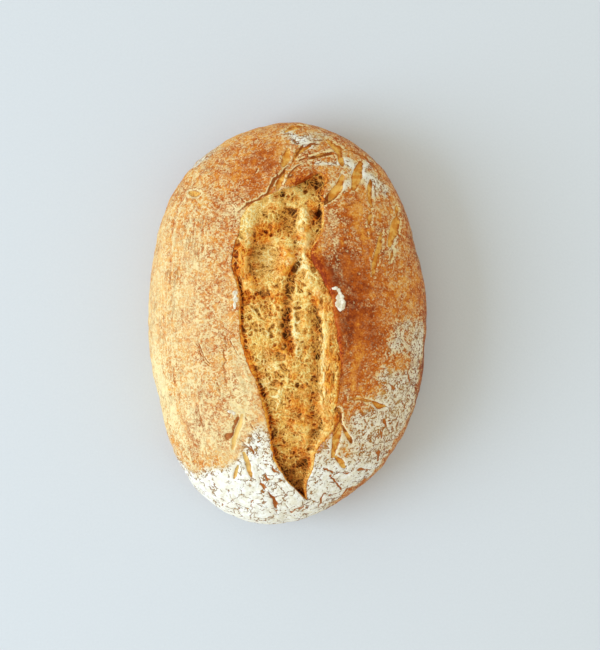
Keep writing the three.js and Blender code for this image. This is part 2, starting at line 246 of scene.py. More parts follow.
def lumps(x, y, size, seed):
    """Smooth noise over the plan, from -1 to 1, with lumps of the given size, or sizes across and along."""
    across, along = size if isinstance(size, tuple) else (size, size)
    u, v = x / across, y / along
    ix, iy = np.floor(u), np.floor(v)
    fx, fy = smooth(u - ix), smooth(v - iy)
    low = knot_value(ix, iy, seed) * (1 - fx) + knot_value(ix + 1, iy, seed) * fx
    high = knot_value(ix, iy + 1, seed) * (1 - fx) + knot_value(ix + 1, iy + 1, seed) * fx
    return low * (1 - fy) + high * fy


def unevenness(x, y, layers, first_seed=1):
    return sum(height * lumps(x, y, size, first_seed + i) for i, (size, height) in enumerate(layers))


def near_route(route, x, y):
    """The distance to a route, its side (above 0 on the left), and how far along it from 0 to 1."""
    distance = np.full(x.shape, np.inf)
    side, along = np.zeros(x.shape), np.zeros(x.shape)
    for i in range(len(route) - 1):
        (ax, ay), (bx, by) = route[i], route[i + 1]
        dx, dy = bx - ax, by - ay
        t = np.clip(((x - ax) * dx + (y - ay) * dy) / (dx * dx + dy * dy), 0, 1)
        away = np.hypot(x - ax - t * dx, y - ay - t * dy)
        nearer = away < distance
        distance = np.where(nearer, away, distance)
        side = np.where(nearer, np.sign(dx * (y - ay) - dy * (x - ax)), side)
        along = np.where(nearer, (i + t) / (len(route) - 1), along)
    return distance, side, along


def near_zones(zones, x, y):
    """The sum of soft round zones."""
    total = np.zeros(x.shape)
    for middle_x, middle_y, half_x, half_y, amount in zones:
        away = ((x - middle_x) / half_x) ** 2 + ((y - middle_y) / half_y) ** 2
        total += amount * np.exp(-away)
    return total


def flattened(height, ceiling, headroom):
    """Heights, with those over a ceiling pressed down softly to stay less than the headroom above it."""
    over = np.maximum(height - ceiling, 0)
    return np.minimum(height, ceiling) + headroom * (1 - np.exp(-over / headroom))


def outline_radius(angle):
    return MEAN_RADIUS + sum(
        cosine * np.cos((k + 1) * angle) + sine * np.sin((k + 1) * angle)
        for k, (cosine, sine) in enumerate(OUTLINE_WAVES)
    )


def outline_share(x, y):
    """How far out a place is: 0 in the middle of the loaf, 1 on its widest line."""
    py = y - OUTLINE_SHIFT_Y
    return np.minimum(np.hypot(x, py) / outline_radius(np.arctan2(py, x)), 1.0)


def dome_height(x, y):
    return WIDEST_Z + (HEIGHT - WIDEST_Z) * np.sqrt(1 - outline_share(x, y) ** DOME_FLATNESS)


def spaced(points, count, weight=None):
    """Places count + 1 points evenly by length along a line of points, or by length times a weight."""
    steps = np.linalg.norm(np.diff(points, axis=0), axis=1)
    if weight is not None:
        steps = steps * weight
    length = np.concatenate([[0], np.cumsum(steps)])
    wanted = np.linspace(0, length[-1], count + 1)
    return np.stack([np.interp(wanted, length, points[:, k]) for k in range(points.shape[1])], axis=1)


def tear_outline():
    """The tear's edge in plan, one place for each column, anticlockwise from its bottom tip."""
    y = np.linspace(RIGHT_EDGE[0][0], RIGHT_EDGE[-1][0], 1200)
    right = np.stack([read_curve(RIGHT_EDGE, y), y], axis=1)
    left = np.stack([read_curve(LEFT_EDGE, y), y], axis=1)[::-1]
    half = COLUMNS // 2
    edge = np.concatenate([spaced(right, half)[:-1], spaced(left, half)[:-1]])
    ragged = unevenness(edge[:, 0], edge[:, 1], [(9, 0.7), (3.5, 0.5), (1.6, 0.3)], 70)
    return edge + np.stack([ragged, np.zeros(COLUMNS)], axis=1)


def loaf_outline():
    """The loaf's widest line in plan, one place for each column."""
    bottom, top = math.radians(-86), math.radians(79)
    halves = []
    for start, end in ((bottom, top), (top, bottom + 2 * math.pi)):
        angle = np.linspace(start, end, 1200)
        radius = outline_radius(angle)
        places = np.stack([radius * np.cos(angle), radius * np.sin(angle)], axis=1)
        halves.append(spaced(places, COLUMNS // 2)[:-1])
    return np.concatenate(halves) + np.array([0, OUTLINE_SHIFT_Y])


def crust_form():
    """Places of the crust's vertices, ring by ring, from the trench under the crumb to the flat base."""
    edge, rim = tear_outline(), loaf_outline()
    outward = (rim - edge) / np.linalg.norm(rim - edge, axis=1)[:, None]
    spine_x = (read_curve(LEFT_EDGE, edge[:, 1]) + read_curve(RIGHT_EDGE, edge[:, 1])) / 2
    spine = np.stack([spine_x, edge[:, 1]], axis=1)
    lip_z = dome_height(edge[:, 0], edge[:, 1])
    rings = []
    for ring in range(TRENCH_RINGS):
        share = (ring + 1) / TRENCH_RINGS
        place = spine * (1 - share) + (edge + 2.2 * outward) * share
        rings.append(np.column_stack([place, lip_z - TRENCH_DEPTH]))
    for ring in range(LIP_RINGS):
        turn = math.pi * (1 - 0.5 * ring / LIP_RINGS)
        out = 0.05 + 1.3 * (1 - math.sin(turn))
        down = LIP_THICKNESS * (1 - math.cos(turn)) / 2
        rings.append(np.column_stack([edge + out * outward, lip_z - down]))
    shares = np.linspace(0, 1, 260)
    over = []
    for column in range(COLUMNS):
        line = edge[column] + shares[:, None] * (rim[column] - edge[column])
        line = np.column_stack([line, dome_height(line[:, 0], line[:, 1])])
        line[-1, 2] = WIDEST_Z
        over.append(spaced(line, CRUST_RINGS, 1.2 - 0.5 * shares[1:]))
    rings.extend(np.array(over).transpose(1, 0, 2))
    middle = np.array([0, OUTLINE_SHIFT_Y])
    for ring in range(1, SIDE_RINGS + 1):
        turn = 0.5 * math.pi * ring / SIDE_RINGS
        share = FOOT_SHARE + (1 - FOOT_SHARE) * math.cos(turn)
        place = middle + share * (rim - middle)
        rings.append(np.column_stack([place, np.full(COLUMNS, WIDEST_Z * (1 - math.sin(turn)))]))
    for ring in range(1, BASE_RINGS):
        share = FOOT_SHARE * (1 - ring / BASE_RINGS)
        rings.append(np.column_stack([middle + share * (rim - middle), np.zeros(COLUMNS)]))
    return np.array(rings)


def surface_normals(form):
    """Outward normals of a form whose rings run outwards and whose columns run anticlockwise."""
    down = np.gradient(form, axis=0)
    round_ = (np.roll(form, -1, axis=1) - np.roll(form, 1, axis=1)) / 2
    normal = np.cross(down, round_)
    return normal / np.maximum(np.linalg.norm(normal, axis=2), 1e-9)[..., None]


def cells(x, y, size, seed):
    """Cells of a foam: the wall between the two nearest cells, and a number of each cell's own."""
    across, along = size if isinstance(size, tuple) else (size, size)
    u, v = x / across, y / along
    ix, iy = np.floor(u), np.floor(v)
    first, second = np.full(x.shape, 9.0), np.full(x.shape, 9.0)
    own = np.zeros(x.shape)
    for dx in (-1, 0, 1):
        for dy in (-1, 0, 1):
            kx, ky = ix + dx, iy + dy
            px = kx + 0.5 + 0.45 * knot_value(kx, ky, seed)
            py = ky + 0.5 + 0.45 * knot_value(kx, ky, seed + 500)
            away = np.hypot(u - px, v - py)
            nearer = away < first
            second = np.where(nearer, first, np.minimum(second, away))
            own = np.where(nearer, knot_value(kx, ky, seed + 900), own)
            first = np.where(nearer, away, first)
    return second - first, own


def gap_into(forms, x, y, taper):
    """How far inside the nearest of some long forms each place lies, below 0 outside, and how deep it is."""
    gap, sunk = np.full(x.shape, FAR_GAP), np.zeros(x.shape)
    for half, depth, route in forms:
        distance, _, along = near_route(route, x, y)
        width = half * (1 - taper + taper * np.sin(math.pi * np.clip(along, 0.02, 0.98)) ** 0.7)
        gap = np.maximum(gap, width - distance)
        sunk = np.maximum(sunk, depth * smooth((width - distance + 0.5) / 1.2))
    return gap, sunk


def fold_masks(x, y):
    """The floury crest on each fold's high side, and how far inside the painted shadow line under it a place
    lies.
    """
    crest, gap = np.zeros(x.shape), np.full(x.shape, FAR_GAP)
    for height, _, route in FLAPS:
        distance, side, along = near_route(route, x, y)
        ends = smooth(5 * along) * smooth(5 * (1 - along))
        high = side * np.sign(height) > 0
        strength = ends * min(1, 0.38 + abs(height) / 2) * smooth(0.85 + 0.9 * lumps(x, y, 3.0, 38))
        behind = np.where(high, np.maximum(distance - 0.3, 0), 3 * distance)
        crest = np.maximum(crest, strength * np.exp(-((behind / 0.5) ** 2)))
        gap = np.maximum(gap, np.where(high, -2 * distance, 1.25 * strength - distance))
    return crest, gap


def crust_masks(x, y, share, from_tear, around, low_down):
    """What each place of the crust looks like, by name: shares from 0 to 1, and gaps in millimetres."""
    soft_x, soft_y = x + 0.6 * lumps(x, y, 5.0, 34), y + 0.6 * lumps(x, y, 5.0, 35)
    torn_x = soft_x + 1.0 * lumps(x, y, 3.4, 31) + 0.8 * lumps(x, y, 1.7, 36)
    torn_y = soft_y + 1.0 * lumps(x, y, 3.4, 33) + 0.8 * lumps(x, y, 1.7, 37)
    marks = [(half, MARK_DEPTH, route) for half, route in STRETCH_MARKS]
    mark_gap, mark_depth = gap_into(marks, soft_x, soft_y, 0.6)
    crack_gap, crack_depth = gap_into(CRACKS, torn_x, torn_y, 0.7)
    crest, fold_gap = fold_masks(soft_x, soft_y)
    streak_gap, _ = gap_into([(half, 0, route) for half, route in STREAKS], torn_x, torn_y, 0.5)
    golden = smooth(0.5 + streak_gap / 3.5)
    run = lumps(from_tear, around, (3.0, 46.0), 41) * 0.6 + lumps(from_tear, around, (1.6, 30.0), 42) * 0.4
    left = smooth((-x - 20) / 50) * smooth((share - 0.55) / 0.3)
    blotch = unevenness(x, y, [(21, 0.5), (9, 0.35), (4.5, 0.25)], 50)
    toast = TOAST_MEAN + near_zones(TOAST_ZONES, x, y) + 0.12 * blotch - 0.16 * golden
    # Browner towards the rim on the right side: baked colour, with painted shade on the side away from the
    # window.
    rim_toast_and_shade = 0.12 * smooth((share - 0.86) / 0.14) + 0.22 * smooth((share - 0.95) / 0.05)
    toast = toast + rim_toast_and_shade * smooth((x + 20) / 50)
    toast = toast - 0.08 * run * left
    dusting = DUSTING_MEAN + near_zones(DUSTING_ZONES, x, y)
    dusting = dusting + 0.09 * unevenness(x, y, [(14, 0.6), (5, 0.4)], 60)
    dusting = dusting + 0.22 * run * left - 0.14 * golden
    film = near_zones(FILM_ZONES, x, y) + 0.12 * unevenness(x, y, [(11, 0.6), (5, 0.4)], 62)
    film = np.clip(film, 0, 0.85)
    below = read_curve(WHITE_LIMIT, x) - y + 6 * unevenness(x, y, [(15, 0.6), (6, 0.5)], 64)
    fade = FLOUR_FADE_LEFT + (FLOUR_FADE_RIGHT - FLOUR_FADE_LEFT) * smooth(x / 30)
    flour = smooth(0.37 + below / fade)
    flour = flour * (0.67 + 0.31 * smooth((-x - 5) / 30) + 0.24 * smooth((-y - 82) / 24))
    flour = flour - np.clip(near_zones(THIN_FLOUR_ZONES, x, y), 0, 1)
    ragged_share = share + 0.017 * unevenness(x, y, [(14, 0.7), (6, 0.6), (2.5, 0.5)], 68)
    flour = flour * (1 - 0.85 * smooth((ragged_share - 0.957) / 0.03) * smooth((x - 10) / 40))
    on_top = 1 - smooth(low_down / 0.2)
    drift_x = x + 4.5 * lumps(x, y, 9.0, 71) + 2.0 * lumps(x, y, 3.6, 72)
    drift_y = y + 4.5 * lumps(x, y, 9.0, 73) + 2.0 * lumps(x, y, 3.6, 74)
    patches = near_zones(FLOUR_ZONES, drift_x, drift_y) * on_top
    flour = np.maximum(flour, patches + 0.14 * unevenness(x, y, [(9, 0.6), (4, 0.5)], 67))
    rim_place, rim_drop = MEAN_RADIUS * np.arctan2(y, x), 46 * low_down
    patchy = unevenness(rim_place, rim_drop, [(22, 0.6), (9, 0.4), (4, 0.3)], 69)
    flour = flour * (1 - smooth((low_down - 0.30 - 0.32 * patchy) / 0.45))
    dusting = dusting + (0.10 * patchy - 0.10 * smooth((low_down - 0.5) / 0.5)) * smooth(low_down / 0.1)
    burnt_zone = np.clip(near_zones(BURNT_EDGE, x, y), 0, 1)
    burnt_reach = 2.3 + 3.6 * np.exp(-(((y - 34) / 13) ** 2)) * smooth(x / 10)
    streaky = smooth((-x - 30) / 30) * smooth((share - 0.5) / 0.25)
    above = 1 - smooth((low_down - 0.08) / 0.12)
    gaps = (mark_gap, crack_gap, fold_gap)
    mark_gap, crack_gap, fold_gap = (FAR_GAP + above * (gap - FAR_GAP) for gap in gaps)
    crest, mark_depth, crack_depth = crest * above, mark_depth * above, crack_depth * above
    return {
        "mark_gap": mark_gap, "crack_gap": crack_gap, "fold_gap": fold_gap, "crest": crest, "toast": toast,
        "dusting": dusting, "film": film, "flour": flour, "streaky": streaky,
        "burnt": burnt_zone * np.exp(-((from_tear / burnt_reach) ** 2)),
    }, {
        "mark": mark_depth, "crack": crack_depth, "run": run * left,
        "lip": 0.25 + 1.1 * burnt_zone,
    }


def crust_relief(x, y, share, from_tear, masks, forms):
    """How far the crust stands out from the smooth dome."""
    relief = unevenness(x, y, SWELLS)
    relief = relief + unevenness(x, y, [(7, 0.30), (3.2, 0.20), (1.8, 0.10)], 11)
    relief = relief + forms["lip"] * np.exp(-((from_tear / 6) ** 2))
    relief = relief - 0.5 * np.exp(-((from_tear / 0.6) ** 2))
    for height, reach, route in FLAPS:
        distance, side, along = near_route(route, x, y)
        ends = smooth(6 * along) * smooth(6 * (1 - along))
        step = smooth(0.5 + side * distance / 1.6)
        relief = relief + height * ends * step * np.exp(-((distance / reach) ** 2))
    relief = relief - forms["mark"] - forms["crack"]
    relief = relief + 0.25 * np.exp(-(((masks["mark_gap"] + 1.3) / 0.8) ** 2))
    warp_x, warp_y = x + 1.6 * lumps(x, y, 4, 81), y + 1.6 * lumps(x, y, 4, 82)
    wall, own = cells(warp_x, warp_y, 10.0, 83)
    crazed = smooth((masks["flour"] - 0.55) / 0.3) * smooth(own + 0.7)
    relief = relief - 0.4 * crazed * smooth(1 - wall / 0.13)
    wrinkle = smooth((-x - 16) / 12) * np.exp(-(((y + 28) / 36) ** 2)) * np.exp(-((from_tear / 22) ** 2))
    relief = relief + 0.6 * wrinkle * lumps(from_tear + 0.12 * y, y, (2.6, 19.0), 84)
    relief = relief + 0.4 * forms["run"]
    return relief


def read_vertices(piece):
    places = np.empty(len(piece.data.vertices) * 3, np.float32)
    piece.data.vertices.foreach_get("co", places)
    return places.reshape(-1, 3)


def put_vertices(piece, places):
    """Moves a piece's vertices to places given in millimetres."""
    piece.data.vertices.foreach_set("co", (places * MM).astype(np.float32).ravel())
    piece.data.update()


def read_corners(piece):
    """The vertex at each corner of each face."""
    corners = np.empty(len(piece.data.loops), np.int32)
    piece.data.loops.foreach_get("vertex_index", corners)
    return corners


def give_map(piece, u, v):
    """Gives a piece the map that its baked colours use."""
    layer = piece.data.uv_layers.active or piece.data.uv_layers.new()
    layer.name = "OFBake"
    places = np.stack([u, v], axis=1).astype(np.float32)
    piece.data.uv_layers["OFBake"].data.foreach_set("uv", places.ravel())


def give_attribute(piece, name, values):
    attribute = piece.data.attributes.new(name, "FLOAT", "POINT")
    attribute.data.foreach_set("value", np.asarray(values, np.float32).ravel())


def face_outwards(merge=False):
    """Joins the active piece's vertices that meet, if asked, turns its faces outwards and shades it smooth."""
    bpy.ops.object.mode_set(mode="EDIT")
    bpy.ops.mesh.select_all(action="SELECT")
    if merge:
        bpy.ops.mesh.remove_doubles(threshold=0.001 * MM)
    bpy.ops.mesh.normals_make_consistent(inside=False)
    bpy.ops.object.mode_set(mode="OBJECT")
    bpy.ops.object.shade_smooth()


FRAME_LOW, FRAME_HIGH = (np.array(corner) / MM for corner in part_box("loaf"))


def fit_to_frame(places, low, high):
    """Moves and scales places by a hair, so that the box from low to high fills the solid's box."""
    return (places - low) * (FRAME_HIGH - FRAME_LOW) / (high - low) + FRAME_LOW


bpy.ops.object.select_all(action="DESELECT")
ring_total = TRENCH_RINGS + LIP_RINGS + CRUST_RINGS + 1 + SIDE_RINGS + BASE_RINGS - 1
bpy.ops.mesh.primitive_grid_add(x_subdivisions=COLUMNS, y_subdivisions=ring_total + 1, size=2)
crust = bpy.context.active_object
crust.name = "crust"

start = read_vertices(crust).astype(float)
vertex_ring = np.rint((1 - start[:, 1]) / 2 * (ring_total + 1)).astype(int)
vertex_column = np.rint((start[:, 0] + 1) / 2 * COLUMNS).astype(int) % COLUMNS

form = crust_form()
first_crust_ring = TRENCH_RINGS + LIP_RINGS
last_side_ring = first_crust_ring + CRUST_RINGS + SIDE_RINGS
flat_x, flat_y = form[..., 0], form[..., 1]
edge_x, edge_y = form[first_crust_ring, :, 0], form[first_crust_ring, :, 1]
from_tear = np.hypot(flat_x - edge_x, flat_y - edge_y)
from_tear[:first_crust_ring] = 0
edge_steps = np.hypot(np.roll(edge_x, -1) - edge_x, np.roll(edge_y, -1) - edge_y)
around = np.broadcast_to(np.cumsum(edge_steps), flat_x.shape)
share = outline_share(flat_x, flat_y)
share[first_crust_ring + CRUST_RINGS:] = 1.0
side_count = SIDE_RINGS + BASE_RINGS
low_down = np.zeros(len(form))
low_down[first_crust_ring + CRUST_RINGS:] = np.clip(np.arange(side_count) / SIDE_RINGS, 0, 1)
low_grid = np.broadcast_to(low_down[:, None], flat_x.shape)
masks, forms = crust_masks(flat_x, flat_y, share, from_tear, around, low_grid)
relief = crust_relief(flat_x, flat_y, share, from_tear, masks, forms)
relief[:first_crust_ring] = relief[first_crust_ring]
depth_fade = np.ones(len(form))
depth_fade[:TRENCH_RINGS] = 0
side_fade = np.clip(1 - np.arange(side_count - 1) / (SIDE_RINGS - 1), 0, 1)
depth_fade[first_crust_ring + CRUST_RINGS + 1:] = side_fade
normals = surface_normals(form)
normals[:first_crust_ring] = normals[first_crust_ring + 1]
shaped = form + normals * (relief * depth_fade[:, None])[..., None]
crust_low, crust_high = shaped.reshape(-1, 3).min(0), shaped.reshape(-1, 3).max(0)
crust_low[2] = 0
shaped[..., 2] = np.maximum(shaped[..., 2], 0)

places = np.empty((len(start), 3))
body = (vertex_ring > 0) & (vertex_ring <= ring_total)
places[body] = shaped[vertex_ring[body] - 1, vertex_column[body]]
places[vertex_ring == 0] = (0, 0, dome_height(np.zeros(1), np.zeros(1))[0] - TRENCH_DEPTH)
places[vertex_ring == ring_total + 1] = (0, OUTLINE_SHIFT_Y, 0)
put_vertices(crust, fit_to_frame(places, crust_low, crust_high))
masks["low_down"] = low_grid
masks["lip"] = np.zeros(flat_x.shape)
masks["lip"][:first_crust_ring] = 1
for name, mask in masks.items():
    values = np.zeros(len(start))
    values[body] = mask[vertex_ring[body] - 1, vertex_column[body]]
    give_attribute(crust, name, values)

# The map that the baked colours use: the top and sides as one disc, the base as a small one in a corner.
BASE_SPOT = (0.93, 0.93)
BASE_SPOT_RADIUS = 0.055
ring_steps = np.linalg.norm(np.diff(shaped, axis=0), axis=2).mean(axis=1)
ring_reach = np.concatenate([[0, 8], 8 + np.cumsum(ring_steps), [8 + ring_steps.sum() + 15]])
disc_radius = 0.49 * ring_reach / ring_reach[last_side_ring + 1]
base_radius = BASE_SPOT_RADIUS * (ring_total + 1 - np.arange(ring_total + 2)) / (ring_total - last_side_ring)
corner = read_corners(crust)
corner_ring, corner_turn = vertex_ring[corner], vertex_column[corner] * 2 * math.pi / COLUMNS
on_base = np.repeat(corner_ring.reshape(-1, 4).min(axis=1) > last_side_ring, 4)
reach = np.where(on_base, base_radius[corner_ring], disc_radius[corner_ring])
middle_u, middle_v = (np.where(on_base, spot, 0.5) for spot in BASE_SPOT)
give_map(crust, middle_u + reach * np.cos(corner_turn), middle_v + reach * np.sin(corner_turn))

# The grid's two sides meet, and its two ends close to a point in the trench and on the base.
face_outwards(merge=True)


def linear(red, green, blue):
    """A colour given as on a screen, from 0 to 255, as the linear colour that the shaders take."""
    def one(value):
        value = value / 255
        return value / 12.92 if value <= 0.04045 else ((value + 0.055) / 1.055) ** 2.4
    return (one(red), one(green), one(blue), 1.0)


class Value:
    """A number, place or colour on a shader tree's wires. Numbers can be added, multiplied and so on."""

    def __init__(self, tree, socket):
        self.tree = tree
        self.socket = socket

    def __add__(self, other):
        return calculate("ADD", self, other)

    def __sub__(self, other):
        return calculate("SUBTRACT", self, other)

    def __rsub__(self, other):
        return calculate("SUBTRACT", other, self)

    def __mul__(self, other):
        return calculate("MULTIPLY", self, other)

    def __abs__(self):
        return calculate("ABSOLUTE", self, 0.0)

    __radd__ = __add__


def add(tree, kind, inputs=None, **settings):
    """Adds a shader node, with its settings, and its inputs set to plain values or joined to other nodes."""
    node = tree.nodes.new(kind)
    for name, setting in settings.items():
        setattr(node, name, setting)
    for name, given in (inputs or {}).items():
        if isinstance(given, Value):
            tree.links.new(given.socket, node.inputs[name])
        else:
            node.inputs[name].default_value = given
    return node


def made(tree, kind, inputs, output=0, **settings):
    """Adds a shader node and returns one of its outputs."""
    return Value(tree, add(tree, kind, inputs, **settings).outputs[output])


def calculate(operation, first, second):
    tree = first.tree if isinstance(first, Value) else second.tree
    return made(tree, "ShaderNodeMath", {0: first, 1: second}, operation=operation)


def highest(first, second):
    return calculate("MAXIMUM", first, second)


def limited(value):
    """Keeps a calculated number from 0 to 1."""
    value.socket.node.use_clamp = True
    return value


def soft_step(value, low, high):
    """0 below low, 1 above high, and smooth between."""
    inputs = {"Value": value, "From Min": low, "From Max": high}
    return made(value.tree, "ShaderNodeMapRange", inputs, interpolation_type="SMOOTHSTEP")


def mixed(share, under, over):
    """One colour over another by a share, with colours given as on a screen or as values."""
    under, over = (colour if isinstance(colour, Value) else linear(*colour) for colour in (under, over))
    return made(share.tree, "ShaderNodeMix", {0: share, 6: under, 7: over}, 2, data_type="RGBA")


def ramp(place, colours):
    """Evenly spaced colours, from the first at 0 to the last at 1."""
    node = add(place.tree, "ShaderNodeValToRGB", {"Fac": place})
    elements = node.color_ramp.elements
    while len(elements) < len(colours):
        elements.new(0.5)
    for i, (element, colour) in enumerate(zip(elements, colours)):
        element.position = i / (len(colours) - 1)
        element.color = linear(*colour)
    return Value(place.tree, node.outputs["Color"])


def noise(vector, size, detail=3.0, roughness=0.55):
    """Noise with lumps of the given size in metres."""
    inputs = {"Vector": vector, "Scale": 1 / size, "Detail": detail, "Roughness": roughness}
    return made(vector.tree, "ShaderNodeTexNoise", inputs, "Fac")


def shifted(pattern, strength):
    """A pattern that runs from 0 to 1, made to vary about 0 by the given strength."""
    return (pattern - 0.5) * strength


def shaken(vector, scale, detail, reach):
    """A place moved about by noise."""
    tree = vector.tree
    shift = made(tree, "ShaderNodeTexNoise", {"Vector": vector, "Scale": scale, "Detail": detail}, "Color")
    shift = made(tree, "ShaderNodeVectorMath", {0: shift, 1: (0.5, 0.5, 0.5)}, operation="SUBTRACT")
    shift = made(tree, "ShaderNodeVectorMath", {0: shift, "Scale": reach}, operation="SCALE")
    return made(tree, "ShaderNodeVectorMath", {0: vector, 1: shift}, operation="ADD")


def new_material(name, attributes=()):
    """A new material, its object coordinates, and the vertex attributes that it reads."""
    material = bpy.data.materials.new(name)
    material.use_nodes = True
    tree = material.node_tree
    tree.nodes.clear()
    place = made(tree, "ShaderNodeTexCoord", {}, "Object")
    read = {name: made(tree, "ShaderNodeAttribute", {}, "Fac", attribute_name=name) for name in attributes}
    return material, place, SimpleNamespace(**read)


def surfaced(material, colour, roughness, shine, height, strength, depth):
    """Ends a material with its colour, roughness and shine, and a bump whose depth is in metres."""
    tree = material.node_tree
    bump = {"Strength": strength, "Distance": depth, "Height": height}
    surface = made(tree, "ShaderNodeBsdfPrincipled", {
        "Base Color": colour, "Roughness": roughness, "Specular IOR Level": shine,
        "Normal": made(tree, "ShaderNodeBump", bump),
    })
    add(tree, "ShaderNodeOutputMaterial", {"Surface": surface})
    return material


def new_group(name, inputs, outputs):
    """An effect that materials share, with its named inputs, and outputs still to be joined."""
    group = bpy.data.node_groups.new(name, "ShaderNodeTree")
    for in_out, sockets in (("INPUT", inputs), ("OUTPUT", outputs)):
        for socket, kind in sockets.items():
            group.interface.new_socket(socket, in_out=in_out, socket_type="NodeSocket" + kind)
    given = add(group, "NodeGroupInput")
    return group, [Value(group, given.outputs[socket]) for socket in inputs]


def powder_group():
    """Flour dust: grains that thin out with the coverage, and fine veins of flour in a skin's wrinkles."""
    inputs = {"Vector": "Vector", "Coverage": "Float"}
    group, (vector, coverage) = new_group("flour dust", inputs, {"Mask": "Float", "Veins": "Float"})
    boldness = 0.8 + soft_step(coverage, 0.35, 0.6) - soft_step(coverage, 0.58, 0.86)
    clump = shifted(noise(vector, 0.0034, 5.0, 0.66), 1.5) * boldness
    ragged = shaken(vector, 1300.0, 1.0, 0.0011)
    grain = made(group, "ShaderNodeTexVoronoi", {"Vector": ragged, "Scale": 1050.0}, "Color")
    grain = made(group, "ShaderNodeSeparateColor", {"Color": grain})
    pit = soft_step(noise(ragged, 0.0016, 2.0, 0.7), 0.60, 0.70) * limited(1.15 - coverage)
    level = coverage - 0.5 + (clump + shifted(grain, 0.75) - pit)
    line = 1.0 - soft_step(abs(shifted(noise(ragged, 0.0028, 3.0, 0.7), 2.0)), 0.01, 0.12)
    veins = line * soft_step(noise(vector, 0.0042, 2.0), 0.44, 0.58)
    add(group, "NodeGroupOutput", {"Mask": soft_step(level, -0.08, 0.10), "Veins": veins})
    return group


powder = powder_group()


def crust_material():
    material, place, read = new_material("baked crust", masks)
    tree = place.tree

    # The skin: browner with toast, under patches, mottle, specks and long wrinkles on the left flank.
    blotch = noise(place, 0.013, 4.0, 0.6)
    mottle = noise(place, 0.0040, 3.0, 0.6)
    speck = noise(place, 0.0011, 2.0, 0.65)
    long_place = made(tree, "ShaderNodeVectorMath", {0: place, 1: (1.0, 0.07, 1.0)}, operation="MULTIPLY")
    streak = shifted(noise(long_place, 0.0016, 3.0, 0.7), 1.0) * read.streaky
    toast = read.toast + blotch * 0.70 + mottle * 0.75 + speck * 0.75 + read.low_down * 0.10
    toast = toast - streak * 0.55 - 1.10
    skin = ramp(toast, [
        (248, 206, 128), (240, 180, 88), (226, 144, 50), (198, 101, 24), (168, 74, 14), (126, 46, 8),
    ])
    grey = mixed(soft_step(toast, 0.25, 0.75), (242, 208, 156), (170, 104, 50))
    skin = mixed(limited(read.film * (0.45 + mottle)), skin, grey)
    thick = soft_step(read.flour, 0.45, 0.75)
    skin = mixed(thick * 0.75, skin, (128, 82, 38))

    # Stretch marks: smooth bare skin, with painted shade at their sunk edges.
    jag = shifted(noise(place, 0.0026, 2.0), 1.5)
    mark_gap = read.mark_gap + jag
    mark = soft_step(mark_gap, -0.20, 0.30)
    mark_rim = soft_step(mark_gap, -2.2, -0.5) * (1.0 - mark)
    golden = mixed(soft_step(mark_gap, 0.0, 1.5), (180, 88, 20), (226, 146, 48))
    golden = mixed(soft_step(mottle, 0.42, 0.62), golden, (246, 190, 94))
    golden = mixed(soft_step(speck, 0.5, 0.7) * 0.4, golden, (214, 130, 44))
    golden = mixed(soft_step(read.film, 0.1, 0.6), golden, (246, 204, 122))

    # Flour: fine in the skin's wrinkles, thick at the lower end, on the crests of folds and round the marks.
    cover = highest(read.dusting, read.flour) + streak * 0.9 + mark_rim * 0.30 + read.crest * 0.6
    cover = cover - mark * 1.5 - read.burnt * 0.8
    dust = add(tree, "ShaderNodeGroup", {"Vector": place, "Coverage": cover}, node_tree=powder)
    grains, veins = (Value(tree, dust.outputs[name]) for name in ("Mask", "Veins"))

    # Crazing of the thick flour: the walls of warped cells, broken up by noise.
    warped = shaken(place, 170.0, 3.0, 0.011)
    lines = []
    for size, width, low in ((0.0090, 0.046, 0.46), (0.0048, 0.044, 0.56)):
        cell = {"Vector": warped, "Scale": 1 / size}
        wall = made(tree, "ShaderNodeTexVoronoi", cell, "Distance", feature="DISTANCE_TO_EDGE")
        line = 1.0 - soft_step(wall, width * 0.35, width)
        lines.append(line * soft_step(noise(place, size, 2.0), low, low + 0.08))
    craze = highest(*lines) * thick
    crack = soft_step(read.crack_gap + jag * 0.9, -0.10, 0.35)
    # The painted shadow line under each fold's step, where no flour lies either.
    fold_shadow = soft_step(read.fold_gap + jag * 0.4, -0.20, 0.35)
    open_line = highest(craze, highest(crack, fold_shadow))

    # The coats, one over another: veins, marks, flour, furrows, cracks, the painted shadow lines under folds,
    # the burnt edge and the lip.
    veins = limited(veins * (1.0 - read.burnt) * (read.dusting * 1.3))
    skin = mixed(mark, mixed(veins, skin, (250, 218, 158)), golden)
    furrow = 1.0 - soft_step(abs(shifted(noise(long_place, 0.0031, 2.0, 0.6), 2.0)), 0.0, 0.07)
    furrow = furrow * soft_step(blotch, 0.46, 0.60) * read.streaky
    powdered = limited(grains * (1.0 - open_line) * limited((cover + 0.35) * 0.97))
    thin = mixed(speck, (240, 203, 128), (252, 232, 182))
    chalk = mixed(soft_step(mottle, 0.35, 0.7), (242, 231, 206), (255, 250, 238))
    white = mixed(soft_step(read.flour, 0.50, 0.85), (238, 218, 180), chalk)
    whiteness = soft_step(read.flour + shifted(mottle, 1.0) * 0.5, 0.34, 0.70)
    colour = mixed(powdered, skin, mixed(whiteness, thin, white))
    colour = mixed(furrow * 0.6, colour, (170, 104, 48))
    # Painted shade: a crack is darker the further inside it a place lies.
    deep = mixed(soft_step(read.crack_gap, 0.4, 1.8), (190, 104, 36), (152, 66, 16))
    colour = mixed(fold_shadow * 0.80, mixed(crack * 0.85, colour, deep), (152, 74, 24))
    scorch = shifted(mottle, 1.6) + shifted(speck, 1.4)
    burnt = soft_step(scorch + read.burnt, 0.25, 0.85) * soft_step(read.burnt, 0.0, 0.25)
    char = mixed(soft_step(scorch + read.burnt * 0.5, 0.15, 0.60), (204, 90, 20), (142, 48, 10))
    colour = mixed(burnt * 0.9, colour, char)
    baked = mixed(soft_step(scorch, -0.25, 0.20), (206, 132, 58), (138, 74, 26))
    lip = mixed(read.burnt, baked, (136, 48, 10))
    colour = mixed(read.lip * (0.85 - thick * 0.75), colour, lip)

